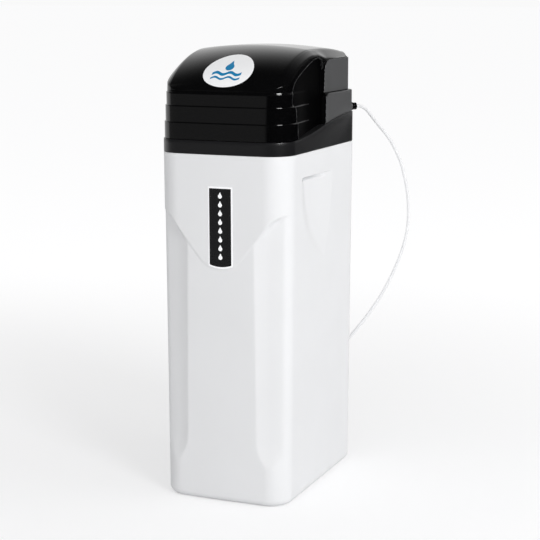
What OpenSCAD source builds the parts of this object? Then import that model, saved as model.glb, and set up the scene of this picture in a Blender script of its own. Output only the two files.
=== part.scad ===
// Cabinet water softener: salt cabinet, resin tank, piston control valve and hinged lid.
// Millimetres, +Z up, front towards -Y, origin on the floor under the middle of the cabinet.

/* [Cabinet] */
// Width of the cabinet at its rim
cab_w = 330; // [322:1:380]
// Depth of the cabinet at its rim
cab_d = 485; // [475:1:560]
// Height of the cabinet rim above the floor
cab_h = 835; // [810:1:1000]
// Radius of the two front corners
front_r = 58; // [48:1:64]
// Radius of the two rear corners
rear_r = 48; // [42:1:52]
// How far each wall leans in between the rim and the floor
draft = 5; // [2:0.5:7]
// Thickness of the cabinet wall
wall = 4; // [3:0.5:5]
// Thickness of the cabinet floor
floor_t = 5; // [4:0.5:8]
// Radius round the foot of the cabinet
foot_r = 18; // [10:1:22]
// Width of the flange round the inside of the rim
rim_w = 18; // [16:1:20]
// Thickness of the rim flange
rim_t = 4; // [3:0.5:6]

/* [Cabinet front and sides] */
// Height of the lowest point of the shield edge
shield_z = 568; // [540:1:590]
// Height where the shield edge runs level round the corners
shield_top = 698; // [680:1:730]
// Radius at the lowest point of the shield edge
shield_r = 70; // [50:1:80]
// Slope of the flanks of the shield edge in degrees
shield_slope = 51; // [46:1:56]
// Radius where the flanks turn level
shield_turn_r = 50; // [40:1:60]
// Step of the panel under the shield edge
panel_step = 1.6; // [0.6:0.1:2]
// Radius of the corner flutes
flute_r = 185; // [175:1:190]
// Distance of each flute axis outside the side wall
flute_side = 9; // [5:1:14]
// Distance of each flute axis in front of the front wall
flute_front = 160.5; // [158:0.5:168]
// Height where the flutes start to run out downwards
flute_end = 158; // [140:1:200]
// Depth of the side handles under their top edge
handle_depth = 22; // [15:1:24]
// Height of the top edge of the handles
handle_top = 778; // [760:1:795]
// Height of the lowest point of the handles
handle_tip = 560; // [530:1:600]
// Place of the front edge of the handles
handle_front = -150; // [-160:1:-130]
// Place of the rear edge of the handles
handle_rear = 58; // [40:1:65]

/* [Collar] */
// Height of the collar at the front
collar_front = 32; // [26:1:40]
// Height of the collar at the rear
collar_rear = 74; // [70:1:82]
// Thickness of the collar wall
collar_t = 6; // [5:0.5:8]
// Thickness of the ledge that lies on the rim
ledge_t = 3; // [2.5:0.5:5]

/* [Lid and rear housing] */
// Inward step of each band of the lid
band_step = 2.5; // [1.5:0.5:3]
// Height of the lowest band at the front
band_low = 40.5; // [34:0.5:46]
// Height of the middle band
band_mid = 38; // [32:0.5:44]
// Height of the top band
band_high = 30.5; // [26:0.5:36]
// Height of the dome above the top band
dome_h = 104; // [96:1:112]
// Depth of the curved nose of the dome
nose_d = 200; // [180:1:210]
// Drop of the dome from its middle to its shoulders
crown = 10; // [6:1:14]
// Thickness of the lid and housing shells
shell_t = 3; // [2.5:0.5:3.5]
// Gap between the lid and what it closes on
lid_gap = 1; // [0.8:0.1:1.5]
// How far the recessed sides of the lid lie inside its shoulders
recess_in = 9.5; // [6:0.5:12]
// Place of the joint between the lid and the rear housing
part_y = 11; // [0:1:20]
// Inset of the upper tier of the rear housing
tier_in = 10; // [8:0.5:12]
// Radius of the hinge barrels
hinge_r = 5; // [4.5:0.5:6]
// Radius of the hinge pins
hinge_pin_r = 2.5; // [2:0.25:3]
// Distance of each hinge from the middle
hinge_x = 60; // [45:1:75]
// Length of each lid knuckle
knuckle_w = 24; // [18:1:30]

/* [Badge and label] */
// Width of the oval badge
badge_w = 127; // [100:1:140]
// Height of the oval badge seen from the front
badge_h = 74; // [60:1:78]
// Thickness of the badge
badge_t = 0.8; // [0.5:0.1:1.2]
// Width of the label plate
label_w = 62; // [50:1:80]
// Height of the label plate
label_h = 186; // [150:1:188]
// Drop of the round lower edge of the label
label_sag = 6; // [4:1:10]
// Thickness of the label plate
label_t = 0.8; // [0.5:0.1:1.2]

/* [Resin tank] */
// Outer radius of the tank
tank_r = 128.5; // [110:0.5:130]
// Thickness of the tank wall
tank_t = 4; // [3:0.5:6]
// Height of each domed end
tank_dome = 62; // [50:1:70]
// Outer radius of the neck
neck_r = 42; // [40:1:46]
// Bore radius of the neck
neck_bore_r = 33; // [32:0.5:35]
// Distance of the neck top below the cabinet rim
neck_drop = 45; // [40:1:50]
// Length of the neck
neck_len = 32; // [28:1:40]
// Gap between the tank and the rear wall at the floor
tank_gap = 10; // [8:1:16]
// Outer radius of the riser tube
riser_r = 13.35; // [12:0.05:14]

/* [Control valve] */
// Height of the piston axis above the rim
valve_up = 15; // [12:1:18]
// Height of the two pipe ports above the rim
port_up = 30; // [26:1:32]
// Spacing of the two pipe ports
port_gap = 80; // [72:1:90]
// Radius of the pipe threads
port_r = 16.6; // [13:0.1:21]
// Bore radius of the pipe ports
port_bore_r = 12.5; // [10:0.5:13]
// How far the ports stand out behind the cabinet
port_out = 50; // [40:1:70]
// Radius of the piston lands
piston_r = 12.95; // [11:0.05:13.5]
// Travel of the piston
piston_travel = 40; // [30:1:42]
// Radius of the piston rod
rod_r = 5.5; // [4:0.25:6]
// Radial clearance of turning and sliding fits
run_fit = 0.05; // [0.03:0.01:0.09]
// Clearance between fixed pieces that pass through each other
loose_fit = 0.3; // [0.2:0.05:0.35]

/* [Drive and panel] */
// Gear module
gear_module = 1; // [0.9:0.05:1.05]
// Teeth of the drive gear
drive_teeth = 48; // [48:12:48]
// Teeth of the reduction gear
idler_teeth = 36; // [36:12:36]
// Teeth of the motor pinion
pinion_teeth = 12; // [12:12:12]
// Thickness of the gears
gear_t = 8; // [6:0.5:10]
// Thickness of the drive plate
plate_t = 6; // [5:0.5:8]
// Radius of the drive motor
motor_r = 18; // [15:0.5:20]
// Length of the drive motor
motor_len = 32; // [25:1:36]
// Half width of the powerhead cover
cover_half = 88; // [86:1:95]
// Length of the powerhead cover
cover_len = 92; // [88:1:110]
// Thickness of the powerhead cover
cover_t = 2.5; // [2:0.5:3]
// Width of the control panel
panel_w = 150; // [140:1:160]
// Height of the control panel along its slope
panel_h = 76; // [70:1:80]
// Radius of the buttons
button_r = 5.5; // [4:0.25:6]
// Travel of the buttons
button_travel = 1.5; // [1:0.1:2]

/* [Brine side] */
// Outer radius of the brine well
well_r = 42; // [40:0.5:44]
// Thickness of the brine well wall
well_t = 3; // [2.5:0.5:4]
// Height of the brine well
well_h = 795; // [780:1:800]
// Distance of the middle of the brine well from the front of the cabinet
well_front = 92.5; // [87.5:0.5:97.5]
// Radius of the float
float_r = 28; // [24:0.5:32]
// Height of the float
float_h = 50; // [40:1:70]
// Radius of the draw tube
draw_r = 5; // [4:0.25:6]
// Height of the salt plate above the floor of the cabinet
salt_plate_h = 65; // [50:1:90]
// Thickness of the salt plate
salt_plate_t = 5; // [4:0.5:8]
// Radius of the brine line
line_r = 4; // [3:0.25:4.5]
// Height of the gland of the brine line above the rim
gland_up = 85; // [82:1:95]
// Height of the elbow where the brine line enters the cabinet
line_z = 270; // [240:1:300]
// Distance of that elbow from the side of the cabinet
line_in = 59; // [55:1:70]
// Height of the overflow elbow
overflow_z = 690; // [640:1:720]

/* [Hidden] */
$fn = 64;
far = 1200;
half_w = cab_w / 2;
half_d = cab_d / 2;

// Heights of the head
z_collar = cab_h + collar_front;
z_low = z_collar + band_low;
z_mid = z_low + band_mid;
z_dome = z_mid + band_high;
z_top = z_dome + dome_h;
tier_drop = 12;
tier_rise = 68.5;
z_tier = z_dome - tier_drop;
z_house = z_dome + tier_rise;

// Resin tank and control valve
tank_y = half_d - draft - wall - tank_gap - tank_r;
z_neck = cab_h - neck_drop;
tank_seal_t = 2.5;
z_flange = z_neck + tank_seal_t;
boot_t = 3;
tank_lift = 15;
z_tank = floor_t + tank_lift;
z_tank_dome = z_neck - neck_len + 2 - tank_dome;
vz = cab_h + valve_up;
pz = cab_h + port_up;
barrel_r = 26;
barrel_flange_r = 34;
barrel_flange_t = 8;
valve_front = tank_y - 65;
valve_rear = tank_y + 55;
spigot_len = 30;
seal_t = 4;
seal_bore_r = piston_r + run_fit;
seal_r = seal_bore_r + seal_t;
seal_front = valve_front + barrel_flange_t;
seal_len = piston_travel + 68;
piston_len = seal_len - piston_travel - 14;
piston_front = seal_front + 10;
boss_len = 12;
boss_r = port_bore_r + 7.5;
washer_t = 2;
port_end = half_d + port_out;
thread_len = 30;
turbine_y = valve_rear + 60;
turbine_len = 30;
side_y = tank_y - 10;
side_boss_r = 15;
side_boss_x = 52;
drain_x = -100;
drain_r = 8;
drain_bore_r = 4.5;
hose_end = 25;

// Drive
idler_x = gear_module * (drive_teeth + idler_teeth) / 2;
pinion_x = idler_x + gear_module * (idler_teeth + pinion_teeth) / 2;
plate_y = valve_front - plate_t;
gear_y = plate_y - loose_fit - gear_t;
hub_r = 9;
idler_axle_r = 3;
shaft_r = 2;
shaft_len = 24;
motor_flange_t = 2;
motor_screw_off = motor_r + 6;
plate_screw_off = 29 * sin(45);
plate_low = vz - 44;
plate_high = vz + 74;
cover_y = valve_front - cover_len;
cover_knee = 72;
cover_brow = 14;
cover_slope = atan((plate_high - plate_low + 2 * cover_t - cover_knee) / (cover_len - plate_t - cover_brow));

// Control panel, on the slope of the cover
panel_mid_y = (cover_y + plate_y - cover_brow) / 2;
panel_mid_z = (plate_low - cover_t + cover_knee + plate_high + cover_t) / 2;
panel_t = 3;
panel_seat = 6;
board_t = 1.6;
board_gap = 12;
button_n = 4;
button_pitch = 24;
button_row = -20;
button_up = 2;
button_flange = 1.5;
window_w = 84;
window_h = 30;
window_row = 14;
window_t = 1.5;

// Brine side
well_x = half_w - draft - handle_depth - wall - well_r;
well_y = well_front - half_d;
z_well = floor_t + well_h;
cap_t = 3;
safety_r = 16;
z_safety = z_well - 60;
safety_len = 45;
air_check_len = 40;
air_check_r = 14;
ball_r = 7;
float_stop = 190;
stop_r = 9;
outlet_len = 8;
overflow_x = -90;

// Brine line: the gland stands square on the rear corner of the housing
gland_turn = 45;
gland_dir = [cos(gland_turn), sin(gland_turn), 0];
gland_mid = [half_w - rear_r, half_d - rear_r, cab_h + gland_up];
gland_seat = rear_r - band_step + 2;
gland_in = 12;
gland_flange = 2.5;
gland_nut_len = 11;
gland_tip = gland_seat + gland_flange + gland_nut_len;
elbow_turn = 41;
elbow_hole_r = 6.5;
elbow_flange_t = 3;
elbow_knuckle = 1.8;
elbow_bore_r = line_r - 1.5;
elbow_dir = [sin(elbow_turn), 0, cos(elbow_turn)];
elbow_out = 16;
elbow_arm = 22;
elbow_flange = 4;
elbow_y = back_y(line_z + elbow_hole_r + elbow_flange);
line_x = half_w - line_in;
elbow_mid = [line_x, elbow_y + elbow_out, line_z];
elbow_in = 17;
line_lead = 12;
line_end = elbow_mid + elbow_arm * elbow_dir;
line_start = gland_mid + gland_tip * gland_dir;
// Bends of the brine line: outwards from the side, outwards from the rear, height above the floor
line_bends = [
    [17, 10.5, 912], [31, 14.5, 895], [47, 16.5, 875], [73, 19.5, 845], [91, 23.5, 815], [105, 26.5, 784],
    [114, 29.5, 754], [123, 33.5, 708], [127, 35.5, 661], [125, 37.5, 614], [116, 37.5, 567], [100, 36.5, 519],
    [79, 33.5, 470], [54, 29.5, 422], [23, 23.5, 374], [-3, 17.5, 338]
];
// Straight first and last bits of a line
function lead_in(p, d) = [p, p + line_lead / 2 * d, p + line_lead * d];
function lead_out(p, d) = [p + line_lead * d, p + line_lead / 2 * d, p];
line_route = concat(lead_in(line_start, gland_dir), [for (p = line_bends) [half_w + p.x, half_d + p.y, p.z]],
    lead_out(line_end, elbow_dir));
valve_line_start = [side_boss_x + 22, side_y, vz];
valve_line_end = gland_mid + (gland_seat - gland_in) * gland_dir;
valve_line_route = concat(lead_in(valve_line_start, [1, 0, 0]), [
    [half_w - 53, side_y + 9, vz + 7], [half_w - 44, side_y + 33, vz + 22], [half_w - 44, side_y + 63, vz + 42],
    gland_mid + [3, -20.5, -11], valve_line_end - 2 * line_lead * gland_dir
], lead_out(valve_line_end, -gland_dir));
well_line_start = [well_x, well_y + safety_r + outlet_len, z_safety + safety_len / 2];
well_line_end = [line_x, back_y(line_z) - elbow_in, line_z];
well_line_out = 30;
// Midway between the tank and the side wall
line_side = (tank_r + side_x(line_z) - wall) / 2;
well_line_route = concat(
    [for (t = [0, 0.5, 1]) well_line_start + [0, t * well_line_out, 0]], [
    [well_x + 1, well_y + 78, well_line_start.z - 12.5], [well_x + 3, well_y + 94, well_line_start.z - 42.5],
    [well_x + 6, well_y + 100, line_z + 400], [well_x + 12, well_y + 100, line_z + 310],
    [well_x + 18, well_y + 102, line_z + 220], [well_x + 28, well_y + 112, line_z + 140],
    [well_x + 39, well_y + 140, line_z + 80], [line_side - 5, tank_y - 65, line_z + 48],
    [line_side - 1, tank_y - 25, line_z + 28], [line_side, tank_y + 15, line_z + 14],
    [line_side - 3, tank_y + 50, line_z + 4], [line_side - 13, tank_y + 80, line_z],
    [line_x + 10, well_line_end.y - 2 * line_lead, line_z]
], lead_out(well_line_end, [0, -1, 0]));

// Fasteners
screw_r = 1.9;
screw_head_r = 3.6;
screw_head_t = 2.4;
screw_len = 10;
screw_fit = 0.06;
collar_screw_spots = [
    [half_w - 12, -130], [-half_w + 12, -130], [half_w - 12, 140], [-half_w + 12, 140],
    [70, -half_d + 12], [-70, -half_d + 12]
];
lug_spots = [60, 170];
lug_w = 16;
lug_low = cab_h + 44;
lug_hole = 8;
lug_x = half_w - collar_t - 0.2 - shell_t;
lug_screw_len = shell_t + collar_t - 2;
bumper_x = 90;
bumper_y = -half_d + band_step + shell_t / 2;
bumper_r = 1.6;
bumper_deep = 6;

// Rear housing and hinge
corner_d = 65;
corner_h = 40;
seat_gap = 0.1;
hinge_gap = 0.6;
hinge_y = half_d - tier_in + hinge_gap + hinge_r;
hinge_z = z_house - 2.5;
ear_w = 8;
ear_gap = 0.5;
ear_h = 12;
gland_boss_r = 13;
gland_hole_r = 7;
inlet_x = -100;
inlet_z = cab_h + 100;
inlet_r = 6;
overflow_hole_r = 9;
overflow_flange = 5;
overflow_t = 3;
overflow_in = 18;
overflow_out = 20;
overflow_drop = 15;

// Places on the leaning cabinet walls
function lean(z) = draft * (1 - z / cab_h);
function side_x(z) = half_w - lean(z);
function back_y(z) = half_d - lean(z);

// Height of the collar's top edge, an S-curve from the front to the rear
curve_front = 27.5;
curve_rear = 42.5;
function collar_z(y) = let (t = min(1, max(0, (y + half_d - curve_front) / (cab_d - curve_front - curve_rear))))
    z_collar + (collar_rear - collar_front) * (1 - cos(180 * t)) / 2;

// Round bars along each axis
module rod_x(y, z, x0, x1, r) { translate([x0, y, z]) rotate([0, 90, 0]) cylinder(r = r, h = x1 - x0); }
module rod_y(x, z, y0, y1, r) { translate([x, y0, z]) rotate([-90, 0, 0]) cylinder(r = r, h = y1 - y0); }
module rod_z(x, y, z0, z1, r) { translate([x, y, z0]) cylinder(r = r, h = z1 - z0); }
module ring_y(x, z, y0, y1, r, bore) {
    difference() {
        rod_y(x, z, y0, y1, r);
        rod_y(x, z, y0 - 1, y1 + 1, bore);
    }
}
module ring_z(x, y, z0, z1, r, bore) {
    difference() {
        rod_z(x, y, z0, z1, r);
        rod_z(x, y, z0 - 1, z1 + 1, bore);
    }
}
module block(low, high) { translate(low) cube(high - low); }

// Flat outlines drawn in the side view (y, z) and in the front view (x, z), made solid across the object
module side_view(points, x0, x1) { translate([x0, 0, 0]) rotate([90, 0, 90]) linear_extrude(x1 - x0) polygon(points); }
module front_view(points, y0, y1) { translate([0, y1, 0]) rotate([90, 0, 0]) linear_extrude(y1 - y0) polygon(points); }

// Outline of the cabinet rim, moved in by inset
module outline(inset) {
    w = half_w - inset;
    d = half_d - inset;
    f = front_r - inset;
    r = rear_r - inset;
    translate([-w, f - d]) square([2 * w, 2 * d - f - r]);
    translate([f - w, -d]) square([2 * (w - f), d]);
    translate([r - w, 0]) square([2 * (w - r), d]);
    for (s = [-1, 1]) {
        translate([s * (w - f), f - d]) circle(r = f);
        translate([s * (w - r), d - r]) circle(r = r);
    }
}
module band(inset, z0, z1) { translate([0, 0, z0]) linear_extrude(z1 - z0) outline(inset); }

// Half section of a leaning wall with a rounded foot
function wall_points(half, h, lean_in, r) = concat([[0, 0]],
    [for (i = [0:6]) [half - lean_in * (1 - r / h) - r + r * sin(15 * i), r - r * cos(15 * i)]],
    [[half, h], [0, h]]);
function flip(points) = [for (i = [len(points) - 1:-1:0]) [-points[i].x, points[i].y]];

// Box with leaning walls, round corners and a rounded foot
module tub(w, d, f, r, h, lean_in, foot) {
    front_view(wall_points(w, h, lean_in, foot), f - d, d - r);
    front_view(flip(wall_points(w, h, lean_in, foot)), f - d, d - r);
    side_view(flip(wall_points(d, h, lean_in, foot)), f - w, w - f);
    side_view(wall_points(d, h, lean_in, foot), r - w, w - r);
    for (s = [-1, 1]) {
        translate([s * (w - f), f - d, 0]) rotate_extrude() polygon(wall_points(f, h, lean_in, foot));
        translate([s * (w - r), d - r, 0]) rotate_extrude() polygon(wall_points(r, h, lean_in, foot));
    }
}

// Everything below the shield edge on the front half
function shield_points() = let (
    rise = shield_r * (1 - cos(shield_slope)),
    turn = shield_turn_r * (1 - cos(shield_slope)),
    run = (shield_top - turn - shield_z - rise) / tan(shield_slope),
    top_x = (shield_r + shield_turn_r) * sin(shield_slope) + run
) concat(
    [for (i = [0:8]) let (a = shield_slope * i / 8) [shield_r * sin(a), shield_z + shield_r * (1 - cos(a))]],
    [for (i = [6:-1:0]) let (a = shield_slope * i / 6)
        [top_x - shield_turn_r * sin(a), shield_top - shield_turn_r * (1 - cos(a))]],
    [[cab_w, shield_top], [cab_w, -floor_t], [0, -floor_t]]);
module below_shield(grow) {
    translate([0, 0, grow]) front_view(shield_points(), -cab_d, 0);
    translate([0, 0, grow]) front_view(flip(shield_points()), -cab_d, 0);
}
module flutes(grow) {
    intersection() {
        for (s = [-1, 1]) translate([s * (half_w + flute_side), -half_d - flute_front, flute_end]) {
            cylinder(r = flute_r + grow, h = cab_h - flute_end, $fn = 128);
            sphere(r = flute_r + grow, $fn = 128);
        }
        below_shield(grow);
    }
}

// Frame of the leaning front wall: origin on the rim, -Y outwards, +Z up the wall
module on_front() { translate([0, -half_d, cab_h]) rotate([atan(draft / cab_h), 0, 0]) children(); }
module front_step() {
    intersection() {
        below_shield(0);
        on_front() block([-half_w, -wall, -2 * cab_h], [half_w, panel_step, cab_h]);
    }
}

// Finger recess in each side, deepest under its top edge
handle_rear_h = 95;
handle_front_h = 128;
handle_tip_front = -8;
handle_tip_rear = 2;
function handle_points(grow) = [
    [handle_front - grow, handle_top + grow], [handle_rear + grow, handle_top + grow],
    [handle_rear + grow, handle_top - handle_rear_h], [handle_tip_rear, handle_tip - 2 * grow],
    [handle_tip_front, handle_tip - 2 * grow], [handle_front - grow, handle_top - handle_front_h]];
module handles(grow) {
    deep = side_x(handle_top) - handle_depth - grow;
    tip = side_x(handle_tip) - grow;
    wedge = [[deep, handle_top + 2 * grow + 1], [deep, handle_top], [tip + 0.5, handle_tip], [cab_w, handle_tip - cab_w],
        [cab_w, handle_top + 2 * grow + 1]];
    for (s = [0, 1]) mirror([s, 0, 0]) intersection() {
        side_view(handle_points(grow), half_w / 2, cab_w);
        front_view(wedge, -half_d, half_d);
    }
}

module cabinet() {
    color("white") difference() {
        tub(half_w, half_d, front_r, rear_r, cab_h, draft, foot_r);
        flutes(0);
        front_step();
        handles(0);
        difference() {
            translate([0, 0, floor_t]) tub(half_w - wall, half_d - wall, front_r - wall, rear_r - wall,
                cab_h - rim_t - floor_t, draft, foot_r - wall);
            flutes(wall);
            handles(wall);
        }
        band(rim_w, cab_h - rim_t - 1, cab_h + 1);
        for (p = collar_screw_spots) rod_z(p.x, p.y, cab_h - rim_t - 1, cab_h + 1, screw_r + screw_fit);
        rod_y(line_x, line_z, half_d / 2, far, elbow_hole_r + screw_fit);
        rod_y(overflow_x, overflow_z, half_d * 0.8, far, overflow_hole_r + screw_fit);
    }
}

// Space below and above the collar's top edge
function curve_points(up) = [for (i = [0:28]) let (y = -half_d - 20 + (cab_d + 40) * i / 28) [y, collar_z(y) + up]];
module below_curve(up) {
    side_view(concat([[half_d + 20, cab_h - far / 2], [-half_d - 20, cab_h - far / 2]], curve_points(up)), -cab_w, cab_w);
}

module collar() {
    color("black") difference() {
        intersection() {
            union() {
                difference() {
                    band(0, cab_h, cab_h + collar_rear + 1);
                    band(collar_t, cab_h - 1, cab_h + collar_rear + 2);
                }
                difference() {
                    band(collar_t / 2, cab_h, cab_h + ledge_t);
                    band(rim_w + 2, cab_h - 1, cab_h + ledge_t + 1);
                }
                difference() {
                    band(collar_t / 2, z_collar - 2 * ledge_t, cab_h + collar_rear + 1);
                    band(rim_w + 2, cab_h, cab_h + collar_rear + 2);
                    below_curve(-ledge_t);
                    block([-cab_w, part_y + lug_w, 0], [cab_w, cab_d, far]);
                }
            }
            below_curve(0);
        }
        for (p = collar_screw_spots) rod_z(p.x, p.y, cab_h - 1, cab_h + ledge_t + 1, screw_r + loose_fit);
        port_window();
        rod_y(drain_x, vz, half_d - 2 * collar_t, far, drain_r + loose_fit);
        for (s = [0, 1]) mirror([s, 0, 0]) {
            rod_z(bumper_x, bumper_y, collar_z(bumper_y) - bumper_deep, far, bumper_r + screw_fit);
            for (y = lug_spots) rod_x(y, lug_low + lug_hole, lug_x, half_w - 1.5, screw_r + screw_fit);
        }
    }
}

// Window in the collar's rear wall for the two pipe ports
module port_window() {
    half = port_gap / 2 + port_r + 14;
    for (s = [-1, 1]) rod_y(s * (half - 24), pz, half_d - 2 * collar_t, far, 24);
    block([24 - half, half_d - 2 * collar_t, pz - 24], [half - 24, far, pz + 24]);
}

module screw(r, len) {
    translate([0, 0, -len]) cylinder(r = r, h = len);
    cylinder(r = screw_head_r, h = screw_head_t);
}
module collar_screws() {
    color("silver") for (p = collar_screw_spots) translate([p.x, p.y, cab_h + ledge_t]) screw(screw_r, screw_len);
}

// Space kept for the rear housing, seen from the side, grown by a gap
function house_points(grow) = concat(
    [[cab_d, z_house + grow], [cab_d, cab_h - far / 2], [part_y - grow, cab_h - far / 2]],
    [for (i = [0:9]) [part_y + corner_d - (corner_d + grow) * cos(10 * i),
        z_house - corner_h + (corner_h + grow) * sin(10 * i)]]);
module house_space(grow) { side_view(house_points(grow), -cab_w, cab_w); }

// Lugs that reach down inside the collar wall and are screwed to it
module lug(y) {
    difference() {
        union() {
            block([lug_x, y - lug_w / 2, lug_low], [lug_x + shell_t, y + lug_w / 2, z_tier - shell_t / 2]);
            block([lug_x, y - lug_w / 2, cab_h + collar_rear + 1],
                [half_w - band_step - 1, y + lug_w / 2, z_tier - shell_t / 2]);
        }
        rod_x(y, lug_low + lug_hole, lug_x - 1, half_w, screw_r + loose_fit);
    }
}
module rear_housing() {
    color("black") difference() {
        union() {
            intersection() {
                union() {
                    difference() {
                        band(band_step, cab_h, z_tier);
                        band(band_step + shell_t, cab_h - 1, z_tier - shell_t);
                        band(tier_in + shell_t, z_tier - 2 * shell_t, z_tier + 1);
                    }
                    difference() {
                        band(tier_in, z_tier - shell_t, z_house);
                        band(tier_in + shell_t, z_tier - 2 * shell_t, z_house + 1);
                    }
                }
                house_space(-lid_gap / 2);
            }
            for (s = [-1, 1], e = [-1, 1]) ear(s * hinge_x + e * (knuckle_w + 2 * ear_gap + ear_w) / 2);
            at_gland(gland_seat - 9) cylinder(r = gland_boss_r, h = 9);
        }
        below_curve(seat_gap);
        for (s = [-1, 1]) {
            notch = knuckle_w / 2 + ear_gap;
            block([s * hinge_x - notch, half_d - 2 * tier_in, hinge_z - hinge_r - 1],
                [s * hinge_x + notch, cab_d, far]);
            rod_x(hinge_y, hinge_z, s * hinge_x - knuckle_w, s * hinge_x + knuckle_w, hinge_pin_r + screw_fit);
        }
        at_gland(0) cylinder(r = gland_hole_r + screw_fit, h = rear_r * 2);
        rod_y(inlet_x, inlet_z, half_d / 2, cab_d, inlet_r + screw_fit);
    }
    color("black") for (s = [0, 1], y = lug_spots) mirror([s, 0, 0]) lug(y);
}
module ear(x) {
    rod_x(hinge_y, hinge_z, x - ear_w / 2, x + ear_w / 2, hinge_r);
    block([x - ear_w / 2, half_d - tier_in - shell_t, hinge_z - ear_h], [x + ear_w / 2, hinge_y, hinge_z]);
}
module housing_screws() {
    color("silver") for (s = [0, 1], y = lug_spots) mirror([s, 0, 0])
        translate([lug_x, y, lug_low + lug_hole]) rotate([0, -90, 0]) screw(screw_r, lug_screw_len);
}

// Lid: stepped bands and a dome, cut by a curved nose in the side view and a crown in the front view
nose_power = 1.6;
nose_steps = 16;
crown_x = 138;
shoulder_drop = 22;
rear_roll = 34;
rear_drop = 12;
function nose_points(g) = let (front = half_d - 3 * band_step - g, mid = nose_d - front) concat(
    [[-cab_d, cab_h - far / 2], [-cab_d, z_dome - g]],
    [for (i = [0:nose_steps]) let (a = 90 * i / nose_steps)
        [mid - nose_d * pow(cos(a), 2 / nose_power), z_dome + (dome_h - g) * pow(sin(a), 2 / nose_power)]],
    [for (i = [0:6]) let (a = 15 * i) [half_d - tier_in - rear_roll - g + rear_roll * sin(a),
        z_top - g - rear_drop - rear_roll * (1 - cos(a))]],
    [[half_d - tier_in - g, cab_h - far / 2]]);
function crown_points(g) = let (edge = half_w - 3 * band_step - g, flat = edge - half_w + 3 * band_step + crown_x) concat(
    [[cab_w, cab_h - far / 2], [cab_w, z_dome - g], [edge, z_dome - g], [edge, z_top - g - crown - shoulder_drop]],
    [for (i = [4:-1:-4]) [flat * i / 4, z_top - g - crown * i * i / 16]],
    [[-edge, z_top - g - crown - shoulder_drop], [-edge, z_dome - g], [-cab_w, z_dome - g], [-cab_w, cab_h - far / 2]]);
module lid_form(g) {
    intersection() {
        union() {
            band(band_step + g, cab_h, z_low - g);
            band(2 * band_step + g, cab_h, z_mid - g);
            band(3 * band_step + g, cab_h, z_top);
        }
        side_view(nose_points(g), -cab_w, cab_w);
        front_view(crown_points(g), -cab_d, cab_d);
    }
}
// Recess in each side of the lid, seen from the side
// Corners of the recess: distance from the front of the cabinet, height over the dome's lower edge
recess_corners = [[77.5, -30], [59.5, -22], [62.5, -3]];
recess_arc = [[80.5, 22], [134.5, 46], [206.5, 71]];
recess_foot = 82.5;
recess_rise = 73;
function recess_points(g) = concat(
    [[part_y + cab_d, cab_h], [recess_foot - half_d - g, cab_h]],
    [for (p = recess_corners) [p.x - half_d - g, z_dome + p.y]],
    [[recess_arc[0].x - half_d - g, z_dome + recess_arc[0].y + g]],
    [for (i = [1, 2]) [recess_arc[i].x - half_d, z_dome + recess_arc[i].y + g]],
    [[part_y + cab_d, z_dome + recess_rise + g]]);
module recess(g) {
    for (s = [0, 1]) mirror([s, 0, 0]) side_view(recess_points(g), half_w - 3 * band_step - recess_in - g, cab_w);
}
module lid() {
    color("black") difference() {
        union() {
            difference() {
                lid_form(0);
                recess(0);
                difference() {
                    lid_form(shell_t);
                    recess(shell_t);
                }
                below_curve(lid_gap);
                house_space(lid_gap / 2);
            }
            for (s = [-1, 1]) knuckle(s * hinge_x);
        }
        for (s = [-1, 1]) rod_x(hinge_y, hinge_z, s * hinge_x - knuckle_w, s * hinge_x + knuckle_w,
            hinge_pin_r + run_fit);
    }
}
module knuckle(x) {
    rod_x(hinge_y, hinge_z, x - knuckle_w / 2, x + knuckle_w / 2, hinge_r);
    block([x - knuckle_w / 2, half_d - tier_in - shell_t, hinge_z], [x + knuckle_w / 2, hinge_y, hinge_z + 2 * hinge_r]);
}
module lid_hinge_pins() {
    pin_half = knuckle_w / 2 + ear_gap + ear_w;
    color("silver") for (s = [-1, 1])
        rod_x(hinge_y, hinge_z, s * hinge_x - pin_half, s * hinge_x + pin_half, hinge_pin_r);
}
module lid_bumpers() {
    color("dimgray") for (s = [-1, 1])
        rod_z(s * bumper_x, bumper_y, collar_z(bumper_y) - bumper_deep, collar_z(bumper_y) + lid_gap - seat_gap, bumper_r);
}

// Oval badge that follows the nose of the dome
badge_up = 50;
badge_z = z_dome + badge_up;
badge_sides = 64;
module lid_badge() {
    color("white") intersection() {
        difference() {
            side_view(nose_points(-badge_t), -badge_w, badge_w);
            side_view(nose_points(0), -2 * badge_w, 2 * badge_w);
        }
        front_view([for (i = [0:badge_sides - 1]) [badge_w / 2 * cos(360 * i / badge_sides),
            badge_z + badge_h / 2 * sin(360 * i / badge_sides)]], -cab_d, 0);
    }
}

// Label plate on the leaning front wall, with a round lower edge
label_gap = 2;
module front_label() {
    low = shield_z + label_gap - cab_h;
    bow = (label_w * label_w / 4 + label_sag * label_sag) / (2 * label_sag);
    half_a = asin(label_w / 2 / bow);
    color("black") on_front() front_view(concat(
        [for (i = [-6:6]) [bow * sin(half_a * i / 6), low + bow - bow * cos(half_a * i / 6)]],
        [[label_w / 2, low + label_sag + label_h], [-label_w / 2, low + label_sag + label_h]]), -label_t, 0);
}

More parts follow.
